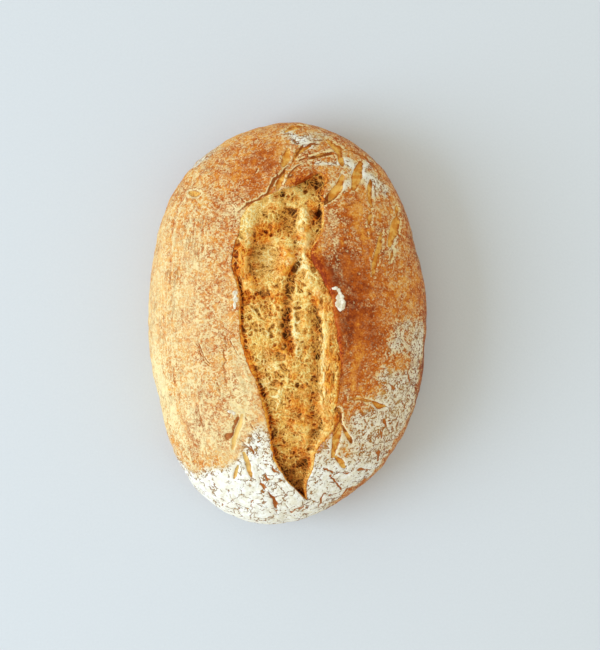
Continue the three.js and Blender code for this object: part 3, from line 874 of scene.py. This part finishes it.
    height = mottle * 0.30 + speck * 0.35 + powdered * 0.25 + veins * 0.25
    height = height - open_line * 0.5 + (streak - furrow * 0.5) * 0.6
    rough = made(tree, "ShaderNodeMapRange", {"Value": powdered, "To Min": 0.58, "To Max": 0.95})
    return surfaced(material, colour, rough, 0.12, height, 0.75, 0.0010)


crust.data.materials.append(crust_material())
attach(crust, "root")
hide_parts("loaf")

# The crumb: the torn inside of the loaf, which swelled up through the score as it baked. It is a web of
# baked dough round pores of every size, pale in its hollows and toasted on its ridges. It lies in the
# trench of the crust and reaches a few millimetres under the crust's lip.

CRUMB_DEPTH = [
    (-116.5, 4), (-110, 8.5), (-95, 8.5), (-75, 6), (-50, 4.6), (-10, 3.6), (20, 4.2), (60, 5), (88, 4.6),
    (98.5, 2.5),
]
LEFT_SLOPE = [
    (-116.5, 1.5), (-90, 2), (-45, 3), (15, 2), (40, 3), (52, 11), (72, 15), (84, 6), (98.5, 2),
]
RIGHT_SLOPE = [(-116.5, 2), (-92, 5), (-70, 9), (-40, 13), (-5, 13), (25, 7), (45, 3), (98.5, 3)]
# The crease, the gutter by the right wall, the right ridge and the left rim: half width, height and route.
CRUMB_RUNS = [
    (3.8, -3.4, [(7.2, 47), (6.6, 40), (3, 32), (0.5, 17), (-1, -1), (2, -15)]),
    (5, -2.4, [(17, 7), (19.5, -11.5), (19, -30), (17.5, -49.5), (19, -68.5), (12, -92)]),
    (5, 3.2, [(10.5, 70), (11, 61.5), (10.5, 52), (13, 40.5), (20.5, 19), (24, 7.5)]),
    (5, 3.4, [(-26, 54), (-28.5, 44), (-28, 33), (-24, 23)]),
]
# Two hollows, the knob, the side hole and the tip's hollow: centre, half widths and height.
CRUMB_SPOTS = [
    (-13, 41, 11, 12, -6), (1.5, 66, 8.5, 10, -6), (2.5, 45, 8, 8, 3.4), (20, 70.5, 3.5, 4, -4),
    (18, 90, 7, 6, -2.5),
]
# Single pores that stand out: centre, half width and depth.
PORES = [
    (6.5, -39.5, 1.9, 3.0), (-3.5, -38.5, 1.2, 2.4), (19, -21.5, 1.8, 2.6), (-15.5, -45.5, 2.0, 2.6),
    (-3, 83.5, 2.2, 3.0), (11.5, 85.5, 1.9, 3.0), (18.5, 88.5, 1.6, 2.4), (21.5, 95, 1.6, 2.4),
    (22.5, 91, 1.6, 2.2), (-13.5, 59, 1.7, 2.0), (-10, 57, 1.5, 2.0), (8, 55, 2.0, 2.0),
    (20.5, 71, 2.2, 2.6), (-25, 20, 2.0, 2.4), (-15, 18, 2.2, 2.2), (-24, 4, 1.8, 2.0),
    (16, 20, 2.0, 2.0), (12, -5, 2.2, 2.4), (-1.5, -8, 2.0, 2.4), (-10, -8, 1.6, 1.8),
]
# Toasted and pale places of the crumb, and places of painted shade, as soft zones.
CRUMB_TOAST_ZONES = [
    (1.6, 42.6, 5.0, 5.0, 1.1), (-0.5, 35, 5, 4, 0.7), (-12.4, 60.1, 8, 3.8, 0.85),
    (-19, 55.3, 6, 3.6, 0.8), (12.6, 60.8, 2.8, 2.4, 0.9), (7.8, 55.3, 3.2, 2.4, 0.9),
    (18, 68.8, 3.0, 3.8, 0.9), (14, 42.6, 3, 3.4, 0.7), (-24.5, 17, 7, 6, 0.55), (-14, 17, 4, 4, 0.4),
    (-4.6, 14.4, 5, 10, 0.45), (18, 16.5, 3, 5, 0.55), (24.5, 8, 3, 5, 0.35), (15, 50, 3, 5, 0.45),
    (-1, -15, 6, 9, 0.55), (27, -20, 2.8, 9, 0.55), (26, -40, 2.8, 10, 0.55), (9, -56, 10, 10, 0.35),
    (8, -84, 6, 5, 0.25),
]
CRUMB_PALE_ZONES = [
    (-14.1, 79.4, 7, 4, 0.8), (-19.9, 73.6, 6, 5, 0.95), (-24.7, 66.9, 5.5, 6, 1.0),
    (-28.6, 59.1, 4.5, 6, 0.9), (-13, 42, 8, 8, 1.1), (-9.4, 31.6, 7, 3.6, 0.5),
    (10.5, 70.6, 3.0, 4, 1.0), (13.5, 51, 3.0, 6, 0.5), (7.8, 63, 2.8, 4, 1.2), (6.4, 52, 2.6, 3, 1.2),
    (8, 40, 3.0, 6, 1.1), (11.2, 37.8, 2.6, 4, 0.9), (15.7, 28.2, 3, 5, 0.6), (21.2, 20.3, 3, 5, 0.35),
    (26.3, 11, 2.4, 5, 0.15), (-14.5, -38, 3.5, 3.5, 0.9), (-6, -44.5, 3.5, 3.5, 0.9),
    (-7, -51.5, 4, 3.5, 0.8), (-15, -24, 4, 6, 0.6), (-9, -29, 4, 4, 0.6), (-13.5, -8, 4, 4, 0.65),
    (-20, 8.3, 4, 4, 0.5), (4.8, 3.5, 2.0, 4.5, 1.0), (4.5, -6, 2.2, 5, 1.1), (7.5, -16, 2.6, 6, 0.9),
    (22, -18, 2.2, 16, 0.55), (22.5, -40, 2.2, 16, 0.5), (21, -72, 3, 9, 0.5),
]
# Painted shade in the crumb's hollows, creases and gutters and under its rims; amounts below 0 are places of
# painted light.
CRUMB_PAINTED_SHADING_ZONES = [
    (5, -107, 9, 12, 0.95), (3, -92, 11, 8, 0.85), (1, 73.5, 5.5, 2.0, 1.0), (7, 70.5, 2.4, 2.6, 0.8),
    (-24.5, 41, 1.8, 7, 0.85), (-20.5, 49, 4, 2.0, 0.8), (-21.5, 33, 2.4, 3, 0.5), (20, 92, 5, 6, 0.45),
    (6.4, 37, 2.6, 7, -0.8), (-12.5, 42, 7, 7, -0.3), (1.0, 23, 3.4, 8, 0.36), (0, 8, 2.6, 7, 0.42),
    (-0.5, -5, 2.2, 6, 0.6), (13.3, 5.5, 3, 1.8, 0.7), (18.8, 1.4, 2.4, 2.4, 0.6),
    (18.5, -14, 2.2, 6, 0.55), (17.5, -32, 2.2, 10, 0.45), (19, -62, 4, 8, 0.3),
    (23.5, -28, 3.4, 26, -0.65), (14.5, 52, 3.5, 7, -1.1), (3, 44, 3.4, 4, -0.2), (17, 29, 4, 8, -0.3),
    (8, 60, 2.6, 9, -0.3), (10, -66, 8, 12, -0.25),
]
# How toasted the crumb is beside its left edge and its right one, and how much painted shade lies beside its
# right one under the crust's lip, from the bottom tip to the top one.
LEFT_BAND = [
    (-116.5, 0), (-96, 0.15), (-80, 0.6), (-66, 1), (-20, 1.1), (12, 0.9), (24, 1.1), (48, 1.1), (56, 0.3),
    (98.5, 0),
]
RIGHT_BAND = [
    (-116.5, 0), (-94, 0.1), (-80, 0.5), (-60, 0.5), (-20, 0.5), (10, 0.3), (40, 0.5), (56, 0.2),
    (98.5, 0.1),
]
RIGHT_SHADE = [(-116.5, 0.4), (-90, 0.3), (-60, 0), (30, 0), (50, 0.4), (60, 1.2), (90, 1.3), (98.5, 0.8)]
# Where the strands run up the picture, as on the right wall, and where they run across it.
UPRIGHT_FIBRES = [(25, -22, 7, 46, 1.0), (-29, 30, 5, 20, 0.6), (12, 50, 6, 20, 0.5)]
CROSS_FIBRES = [(-13, 41, 10, 9, 0.9), (2, -62, 16, 16, 0.4)]
# Where the crumb is smooth, as on the bare slope and on the floors of the big pores.
CALM_ZONES = [
    (-24, 66, 6, 12, 0.95), (-15, 75, 8, 5, 0.8), (-13, 41, 8, 8, 0.7), (1, 66, 6, 7, 0.65),
    (14, 2, 5, 12, 0.55), (-12, -22, 5, 8, 0.5), (-10, -45, 4, 5, 0.45), (2, 22, 3, 9, 0.55),
]
CRUMB_ACROSS = 168
CRUMB_ALONG = 552
CRUMB_BOTTOM = RIGHT_EDGE[0][0] + 0.3
CRUMB_TOP = RIGHT_EDGE[-1][0] - 0.3
CRUMB_REACH = 3.0
CRUMB_SKIRT = 9.0
# The crumb is flattened softly from a little below the loaf's top.
CRUMB_CEILING_DROP = 2.5
CRUMB_HEADROOM = 2.2


def crumb_base(x, y):
    """The crumb's height without its pores, as on the solid."""
    left, right = read_curve(LEFT_EDGE, y), read_curve(RIGHT_EDGE, y)
    inside = smooth((x - left) / read_curve(LEFT_SLOPE, y))
    inside = inside * smooth((right - x) / read_curve(RIGHT_SLOPE, y))
    forms = np.zeros(x.shape)
    for half, height, route in CRUMB_RUNS:
        forms += height * smooth(1.25 - near_route(route, x, y)[0] / half)
    for middle_x, middle_y, half_x, half_y, height in CRUMB_SPOTS:
        forms += height * smooth(1.3 - np.hypot((x - middle_x) / half_x, (y - middle_y) / half_y))
    crags = unevenness(x, y, [(13, 1.6), (6.5, 1.4)])
    edge_drop = 0.25 + 1.4 * np.clip(near_zones(BURNT_EDGE, x, y), 0, 1)
    below = edge_drop + inside * (read_curve(CRUMB_DEPTH, y) - 1.2 - forms - crags)
    return dome_height(x, y) + unevenness(x, y, SWELLS) - below


def crumb_web(x, y):
    """The web: how deep each place lies in its pores, how near a strand it is, and wide pores' floors."""
    wx = x + 1.3 * lumps(x, y, 5.5, 102) + 0.7 * lumps(x, y, 2.4, 103) + 0.3 * lumps(x, y, 1.2, 106)
    wy = y + 1.3 * lumps(x, y, 5.5, 104) + 0.7 * lumps(x, y, 2.4, 105) + 0.3 * lumps(x, y, 1.2, 107)
    upright = np.clip(near_zones(UPRIGHT_FIBRES, x, y), 0, 1)
    cross = np.clip(near_zones(CROSS_FIBRES, x, y), 0, 1 - upright)
    plain = 1 - upright - cross
    walls, owns = [], []
    for size, seed in ((6.2, 110), (2.9, 111), (1.45, 112)):
        level = [cells(wx, wy, size, seed)]
        level.append(cells(wx, wy, (size * 0.55, size * 2.2), seed + 20))
        level.append(cells(wx, wy, (size * 2.0, size * 0.6), seed + 40))
        walls.append(plain * level[0][0] + upright * level[1][0] + cross * level[2][0])
        owns.append(plain * level[0][1] + upright * level[1][1] + cross * level[2][1])
    floor = smooth((walls[0] - 0.08) / 0.30) * smooth((owns[0] + 0.15) / 0.5)
    calm = 1 - 0.55 * floor
    depth = 1.9 * smooth((walls[0] - 0.08) / 0.40) * smooth((owns[0] + 0.05) / 0.6)
    depth = depth + 0.95 * calm * smooth((walls[1] - 0.05) / 0.34) * smooth(0.45 + 0.9 * owns[1])
    depth = depth + 0.40 * calm * smooth((walls[2] - 0.06) / 0.36) * smooth(0.7 + 0.6 * owns[2])
    strand = np.maximum(smooth(1 - walls[1] / 0.16), 0.65 * smooth(1 - walls[2] / 0.18))
    strand = np.maximum(strand * calm, smooth(1 - walls[0] / 0.09))
    return depth, strand, floor


def blurred(grid, reach):
    """A grid's values, each averaged over a square that reaches the given number of steps each way."""
    for axis in (0, 1):
        pad = [(0, 0), (0, 0)]
        pad[axis] = (reach + 1, reach)
        total = np.cumsum(np.pad(grid, pad, mode="edge"), axis=axis)
        total = np.moveaxis(total, axis, 0)
        grid = np.moveaxis((total[2 * reach + 1:] - total[: -2 * reach - 1]) / (2 * reach + 1), 0, axis)
    return grid


def crumb_sides(y):
    """The crumb's left and right sides, under the lip of the crust."""
    return read_curve(LEFT_EDGE, y) - CRUMB_REACH, read_curve(RIGHT_EDGE, y) + CRUMB_REACH


bpy.ops.object.select_all(action="DESELECT")
bpy.ops.mesh.primitive_grid_add(x_subdivisions=CRUMB_ACROSS, y_subdivisions=CRUMB_ALONG, size=2)
crumb = bpy.context.active_object
crumb.name = "crumb"
bpy.ops.object.mode_set(mode="EDIT")
bpy.ops.mesh.select_all(action="SELECT")
bpy.ops.mesh.region_to_loop()
bpy.ops.mesh.extrude_edges_move(TRANSFORM_OT_translate={"value": (0, 0, -1)})
bpy.ops.mesh.edge_face_add()
bpy.ops.object.mode_set(mode="OBJECT")

start = read_vertices(crumb).astype(float)
across = np.rint((start[:, 0] + 1) / 2 * CRUMB_ACROSS).astype(int)
along = np.rint((start[:, 1] + 1) / 2 * CRUMB_ALONG).astype(int)
skirt = start[:, 2] < -0.5

share_across, share_along = np.meshgrid(
    np.linspace(0, 1, CRUMB_ACROSS + 1), np.linspace(0, 1, CRUMB_ALONG + 1), indexing="ij"
)
y = CRUMB_BOTTOM + (CRUMB_TOP - CRUMB_BOTTOM) * share_along
left, right = crumb_sides(y)
x = left + (right - left) * share_across
depth, strand, floor_share = crumb_web(x, y)
sink = smooth((x - left - 1.5) / 3.5) * smooth((right - 1.5 - x) / 3.5)
depth = depth * sink * (1 - np.clip(near_zones(CALM_ZONES, x, y), 0, 0.9))
for pore_x, pore_y, half, deep in PORES:
    ragged = 0.25 * half * lumps(x, y, 1.6, 130)
    away = np.hypot(x - pore_x, y - pore_y) + ragged
    depth = np.maximum(depth, deep * smooth(1.4 - away / half))
crumb_height = crumb_base(x, y) - depth + (0.8 + 0.35 * strand) * sink
crumb_height = flattened(crumb_height, crust_high[2] - CRUMB_CEILING_DROP, CRUMB_HEADROOM)
# The crumb's height less its blurred height, with which its level paints shade into the pores and hollows and
# light onto the ridges.
fine = crumb_height - blurred(blurred(crumb_height, 3), 3)
coarse = crumb_height - blurred(blurred(crumb_height, 12), 12)
shift_x, shift_y = x + 1.6 * lumps(x, y, 3.6, 131), y + 1.6 * lumps(x, y, 3.6, 132)
from_left, from_right = x - left - CRUMB_REACH, right - CRUMB_REACH - x
left_reach = 3.4 + 5.2 * np.exp(-(((y - 38) / 14) ** 2))
band = read_curve(LEFT_BAND, y) * np.exp(-((np.maximum(from_left, 0) / left_reach) ** 2))
band = np.maximum(band, read_curve(RIGHT_BAND, y) * np.exp(-((np.maximum(from_right, 0) / 1.8) ** 2)))
band = band * (0.8 + 0.5 * unevenness(x, y, [(4.5, 0.6), (2.0, 0.5)], 134))
# The level is the crumb's brightness: painted shade in its pores and hollows, and painted light on its ridges
# and strand walls.
crumb_masks = {
    "level": 0.555 + 0.42 * fine + 0.11 * coarse + 0.21 * strand * sink,
    "toast": 0.38 + near_zones(CRUMB_TOAST_ZONES, shift_x, shift_y) - 0.22 * floor_share * sink
    + 0.22 * unevenness(x, y, [(11, 0.6), (5, 0.5)], 120),
    "pale": near_zones(CRUMB_PALE_ZONES, shift_x, shift_y)
    + 0.36 * floor_share * sink * (1 - np.clip(band, 0, 1))
    + 0.15 * unevenness(x, y, [(8, 0.7)], 124),
    "dark": near_zones(CRUMB_PAINTED_SHADING_ZONES, shift_x, shift_y)
    + read_curve(RIGHT_SHADE, y) * np.exp(-((np.maximum(from_right, 0) / 1.9) ** 2)),
    "edge": band,
}
edge_z = crumb_height[across, along] - np.where(skirt, CRUMB_SKIRT, 0)
crumb_places = np.stack([x[across, along], y[across, along], edge_z], axis=1)
put_vertices(crumb, fit_to_frame(crumb_places, crust_low, crust_high))

# The map that the baked colours use: the crumb's lower and upper halves side by side, and its flat
# underside, which is never seen, as a thin strip above them.
face_sizes = np.empty(len(crumb.data.polygons), np.int32)
crumb.data.polygons.foreach_get("loop_total", face_sizes)
corner = read_corners(crumb)
face_of_corner = np.repeat(np.arange(len(face_sizes)), face_sizes)
face_start = np.concatenate([[0], np.cumsum(face_sizes)[:-1]])
upper = (np.minimum.reduceat(along[corner], face_start) >= CRUMB_ALONG // 2)[face_of_corner]
share_u, share_v = across[corner] / CRUMB_ACROSS, along[corner] / (CRUMB_ALONG // 2) - upper
lowered = skirt[corner]
share_u = share_u + 0.012 * lowered * np.sign(share_u - 0.5) * ((share_u == 0) | (share_u == 1))
share_v = share_v + 0.008 * lowered * (np.where(along[corner] == 0, -1, 0) + (along[corner] == CRUMB_ALONG))
place_uv = np.stack([0.02 + 0.46 * share_u + 0.5 * upper, 0.02 + 0.90 * share_v], axis=1)
under = face_sizes[face_of_corner] > 4
place_uv[under] = np.stack([0.02 + 0.9 * share_u, 0.955 + 0.02 * share_v], axis=1)[under]
give_map(crumb, *place_uv.T)
for name, mask in crumb_masks.items():
    give_attribute(crumb, name, mask[across, along])
face_outwards()


def crumb_colours_group():
    """Crumb colours by a level that runs from painted shade in its pores to painted light on its strands:
    plain, toasted and pale.
    """
    inputs = {"Level": "Float", "Toast": "Float", "Pale": "Float"}
    group, (level, toast, pale) = new_group("crumb colours", inputs, {"Color": "Color"})
    plain, toasted, bleached = (ramp(level, colours) for colours in (
        [(104, 58, 18), (164, 100, 34), (224, 156, 66), (248, 194, 92), (255, 228, 146)],
        [(98, 42, 10), (152, 68, 12), (204, 100, 18), (230, 130, 28), (248, 178, 68)],
        [(116, 76, 30), (168, 118, 50), (228, 172, 84), (252, 206, 112), (255, 238, 174)],
    ))
    colour = mixed(soft_step(toast, 0.2, 0.8), plain, toasted)
    add(group, "NodeGroupOutput", {"Color": mixed(soft_step(pale, 0.1, 0.9), colour, bleached)})
    return group


crumb_colours = crumb_colours_group()


def crumb_colour(level, toast, pale):
    inputs = {"Level": level, "Toast": toast, "Pale": pale}
    return made(level.tree, "ShaderNodeGroup", inputs, "Color", node_tree=crumb_colours)


def crumb_material():
    material, place, read = new_material("torn crumb", crumb_masks)
    mottle = noise(place, 0.0024)
    speck = noise(place, 0.0010, 2.0)
    string = 1.0 - soft_step(abs(shifted(noise(place, 0.0022, 2.0, 0.6), 2.0)), 0.0, 0.20)
    # The level carries painted shade in the pores and painted light on the ridges, and fine noise and strings
    # of the crumb's own colour.
    level = read.level + shifted(mottle, 0.65) + shifted(speck, 0.70) + string * 0.22
    # Painted shade darkens the crumb in its shading zones and beside its right edge, and painted light
    # brightens it where the zones are below 0.
    level = level - read.dark * 0.38 - read.edge * 0.10
    toast = read.toast + shifted(noise(place, 0.006), 1.7) + shifted(mottle, 1.1) + read.edge * 0.9
    colour = crumb_colour(level, toast, read.pale + shifted(mottle, 1.1))
    return surfaced(material, colour, 0.7, 0.15, mottle * 0.4 + speck * 0.4 + string * 0.3, 0.7, 0.0008)


crumb.data.materials.append(crumb_material())
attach(crumb, "root")
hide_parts("loaf")

# The strands: thin threads of dough that were stretched across the pores as the crumb tore, and baked hard
# there. Each bridges the crumb from one wall to the next, with both its ends in the crumb.

STRAND_COUNT = 1150
STRAND_POINTS = 9
STRAND_LENGTHS = (2.6, 7.0)
STRAND_HALF_WIDTHS = (0.12, 0.27)
STRAND_END_DEPTH = 0.4
# The middle and the size of the square in plan that the map of the strands' baked colours covers.
STRAND_MAP_MIDDLE_Y = -9
STRAND_MAP_SIZE = 220
random = np.random.default_rng(11)


def crumb_top(x, y):
    """The height of the crumb's surface, pores and all."""
    left, right = crumb_sides(y)
    u = np.clip((x - left) / (right - left), 0, 0.9999) * CRUMB_ACROSS
    v = np.clip((y - CRUMB_BOTTOM) / (CRUMB_TOP - CRUMB_BOTTOM), 0, 0.9999) * CRUMB_ALONG
    i, j = u.astype(int), v.astype(int)
    u, v = u - i, v - j
    low = crumb_height[i, j] * (1 - u) + crumb_height[i + 1, j] * u
    high = crumb_height[i, j + 1] * (1 - u) + crumb_height[i + 1, j + 1] * u
    return low * (1 - v) + high * v


bpy.ops.object.select_all(action="DESELECT")
thread = bpy.data.curves.new("strands", "CURVE")
thread.dimensions = "3D"
thread.bevel_depth = MM
thread.bevel_resolution = 0
thread.use_fill_caps = True
share_out = np.linspace(0, 1, STRAND_POINTS)
for _ in range(STRAND_COUNT):
    middle_y = np.array(random.uniform(-108, 94))
    middle_left, middle_right = read_curve(LEFT_EDGE, middle_y) + 1.5, read_curve(RIGHT_EDGE, middle_y) - 1.5
    middle_x = random.uniform(0, 1) * (middle_right - middle_left) + middle_left
    upright = near_zones(UPRIGHT_FIBRES, middle_x, middle_y)
    across_share = near_zones(CROSS_FIBRES, middle_x, middle_y)
    spread = math.pi * (1 - 0.8 * min(1, max(upright, across_share)))
    heading = (math.pi / 2 if upright >= across_share else 0) + random.uniform(-0.5, 0.5) * spread
    length = random.uniform(*STRAND_LENGTHS) * (1 + 0.8 * min(1, upright))
    turns = heading + random.uniform(-0.9, 0.9) * (share_out - 0.5)
    step = length / (STRAND_POINTS - 1)
    line_x = np.cumsum(np.cos(turns)) * step
    line_y = np.cumsum(np.sin(turns)) * step
    line_x = line_x - line_x.mean() + middle_x
    line_y = np.clip(line_y - line_y.mean() + middle_y, -113, 95)
    line_x = np.clip(line_x, read_curve(LEFT_EDGE, line_y) - 0.5, read_curve(RIGHT_EDGE, line_y) + 0.5)
    surface = crumb_top(line_x, line_y)
    bridge = surface[0] + (surface[-1] - surface[0]) * share_out
    rise = np.maximum(surface, bridge * 0.75 + surface * 0.25) + 0.12
    rise[[0, -1]] = surface[[0, -1]] - STRAND_END_DEPTH
    half_widths = random.uniform(*STRAND_HALF_WIDTHS) * (0.5 + 0.5 * np.sin(math.pi * share_out))
    places = fit_to_frame(np.stack([line_x, line_y, rise], axis=1), crust_low, crust_high)
    spline = thread.splines.new("POLY")
    spline.points.add(STRAND_POINTS - 1)
    for point, place, radius in zip(spline.points, places, half_widths):
        point.co = (*(place * MM), 1)
        point.radius = radius
strands = bpy.data.objects.new("strands", thread)
bpy.context.collection.objects.link(strands)
bpy.context.view_layer.objects.active = strands
strands.select_set(True)
bpy.ops.object.convert(target="MESH")
strands = bpy.context.active_object
face_outwards()

x, y, _ = read_vertices(strands).T / MM
corner = read_corners(strands)
strand_u, strand_v = x / STRAND_MAP_SIZE, (y - STRAND_MAP_MIDDLE_Y) / STRAND_MAP_SIZE
give_map(strands, 0.5 + strand_u[corner], 0.5 + strand_v[corner])
strand_zones = {"toast": CRUMB_TOAST_ZONES, "pale": CRUMB_PALE_ZONES, "dark": CRUMB_PAINTED_SHADING_ZONES}
for name, zones in strand_zones.items():
    give_attribute(strands, name, near_zones(zones, x, y))


def strand_material():
    material, place, read = new_material("crumb strand", strand_zones)
    speck = noise(place, 0.0012, 2.0)
    # Painted shade darkens the strands in the crumb's shading zones, and painted light brightens them where
    # these are below 0.
    level = 0.78 + shifted(speck, 0.5) - read.dark * 0.35
    toast = read.toast + 0.34 + shifted(noise(place, 0.006), 1.3)
    colour = crumb_colour(level, toast, read.pale)
    return surfaced(material, colour, 0.6, 0.2, speck, 0.4, 0.0003)


strands.data.materials.append(strand_material())
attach(strands, "root")
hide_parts("loaf")

# The flour lumps: clots of damp flour that baked hard on the crust beside the tear. Each is a few rounded
# grains run together, and is stuck to the crust by the flour itself.

# The centre in plan and the three half widths of each grain.
FLOUR_LUMPS = [
    (28.5, 22.1, 1.5, 1.0, 0.5), (30.5, 22.4, 1.6, 1.1, 0.5), (32.4, 21.2, 1.5, 1.2, 0.6),
    (33.4, 19.4, 1.4, 1.4, 0.8), (33.2, 16.4, 2.9, 2.6, 1.3), (34.3, 13.0, 2.9, 3.2, 1.3),
    (32.4, 12.6, 2.0, 2.6, 1.1), (33.6, 9.6, 1.6, 1.9, 0.9), (35.3, 10.2, 1.2, 1.6, 0.8),
    (-32.9, 19.2, 1.9, 2.0, 0.9), (-32.9, 15.6, 1.5, 2.6, 0.8), (-33.2, 11.8, 1.0, 2.6, 0.6),
    (-35.8, -56.6, 2.3, 1.3, 0.5), (-34.2, -57.6, 1.5, 1.3, 0.5),
]
LUMP_VOXEL = 0.22
LUMP_CEILING_DROP = 0.8
LUMP_HEADROOM = 0.75


def crust_top(x, y):
    """The height of the crust at its vertex nearest to a place in plan."""
    over = shaped[first_crust_ring + 1:first_crust_ring + CRUST_RINGS].reshape(-1, 3)
    return over[np.argmin((over[:, 0] - x) ** 2 + (over[:, 1] - y) ** 2), 2]


bpy.ops.object.select_all(action="DESELECT")
grains = []
for lump_x, lump_y, half_x, half_y, half_z in FLOUR_LUMPS:
    middle = np.array([lump_x, lump_y, crust_top(lump_x, lump_y) + 0.15 * half_z])
    middle = fit_to_frame(middle, crust_low, crust_high) * MM
    scale = [half_x * MM, half_y * MM, half_z * MM]
    bpy.ops.mesh.primitive_ico_sphere_add(subdivisions=3, radius=1, location=tuple(middle), scale=scale)
    grains.append(bpy.context.active_object)
for grain in grains:
    grain.select_set(True)
bpy.ops.object.join()
flour_lumps = bpy.context.active_object
flour_lumps.name = "flour_lumps"
bpy.ops.object.transform_apply(location=True, rotation=True, scale=True)
remesh = flour_lumps.modifiers.new("one body", "REMESH")
remesh.mode = "VOXEL"
remesh.voxel_size = LUMP_VOXEL * MM
bpy.ops.object.modifier_apply(modifier=remesh.name)
for name, size, strength in (("lumpiness", 2.6, 1.2), ("roughness", 0.9, 0.5)):
    texture = bpy.data.textures.new(name, "CLOUDS")
    texture.noise_scale = size * MM
    texture.noise_depth = 1
    displace = flour_lumps.modifiers.new(name, "DISPLACE")
    displace.texture = texture
    displace.strength = strength * MM
    displace.mid_level = 0.5
    bpy.ops.object.modifier_apply(modifier=displace.name)

# The clots' tops are flattened softly, so that none stands above the loaf.
lump_places = read_vertices(flour_lumps) / MM
lump_places[:, 2] = flattened(lump_places[:, 2], FRAME_HIGH[2] - LUMP_CEILING_DROP, LUMP_HEADROOM)
put_vertices(flour_lumps, lump_places)
bpy.ops.object.shade_smooth()


def flour_lump_material():
    material, place, _ = new_material("clotted flour")
    grain = noise(place, 0.0007)
    colour = mixed(soft_step(noise(place, 0.0026, 2.0), 0.4, 0.6), (224, 205, 170), (248, 238, 216))
    return surfaced(material, colour, 0.95, 0.1, grain, 0.5, 0.0003)


flour_lumps.data.materials.append(flour_lump_material())
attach(flour_lumps, "root")
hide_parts("loaf")

# The floor: a wide pale board of matt paint, staged under the loaf.
bpy.ops.object.select_all(action="DESELECT")
bpy.ops.mesh.primitive_grid_add(x_subdivisions=8, y_subdivisions=8, size=40)
floor = bpy.context.active_object
floor.name = "floor"


def floor_material():
    material, place, _ = new_material("matt pale board")
    grain = noise(place, 0.0016)
    colour = mixed(grain, (211.5, 211.9, 212.2), (217.8, 218.3, 218.5))
    return surfaced(material, colour, 0.85, 0.2, grain, 0.15, 0.0004)


floor.data.materials.append(floor_material())

# The light: a large soft window on the left, a little towards the loaf's lower end, and a warm room.
WINDOW_PLACE = (-2.5, -0.5, 1.7)
WINDOW_SIZE = 2.0
WINDOW_POWER = 82
WINDOW_COLOUR = (0.60, 0.76, 1.0)
ROOM_COLOUR = (0.765, 0.787, 0.725, 1)
bpy.ops.object.light_add(type="AREA", location=WINDOW_PLACE)
window = bpy.context.active_object
window.name = "window"
window.data.shape = "SQUARE"
window.data.size = WINDOW_SIZE
window.data.energy = WINDOW_POWER
window.data.color = WINDOW_COLOUR
window.rotation_euler = (-window.location).to_track_quat("-Z", "Y").to_euler()

world = bpy.data.worlds.new("room")
bpy.context.scene.world = world
world.use_nodes = True
world.node_tree.nodes["Background"].inputs["Color"].default_value = ROOM_COLOUR
bpy.context.scene.view_settings.view_transform = "Standard"

# The camera looks straight down from a metre above the loaf's widest line.
CAMERA_OVER = 1.032
CAMERA_X, CAMERA_Y = 0.0084, -0.0011
FRAME_HEIGHT_AT_WIDEST = 0.4382
bpy.ops.object.camera_add(location=(CAMERA_X, CAMERA_Y, CAMERA_OVER), rotation=(0, 0, 0))
camera = bpy.context.active_object
camera.name = "camera"
camera.data.sensor_width = 36
camera.data.lens = 36 * (CAMERA_OVER - WIDEST_Z * MM) / FRAME_HEIGHT_AT_WIDEST
bpy.context.scene.camera = camera
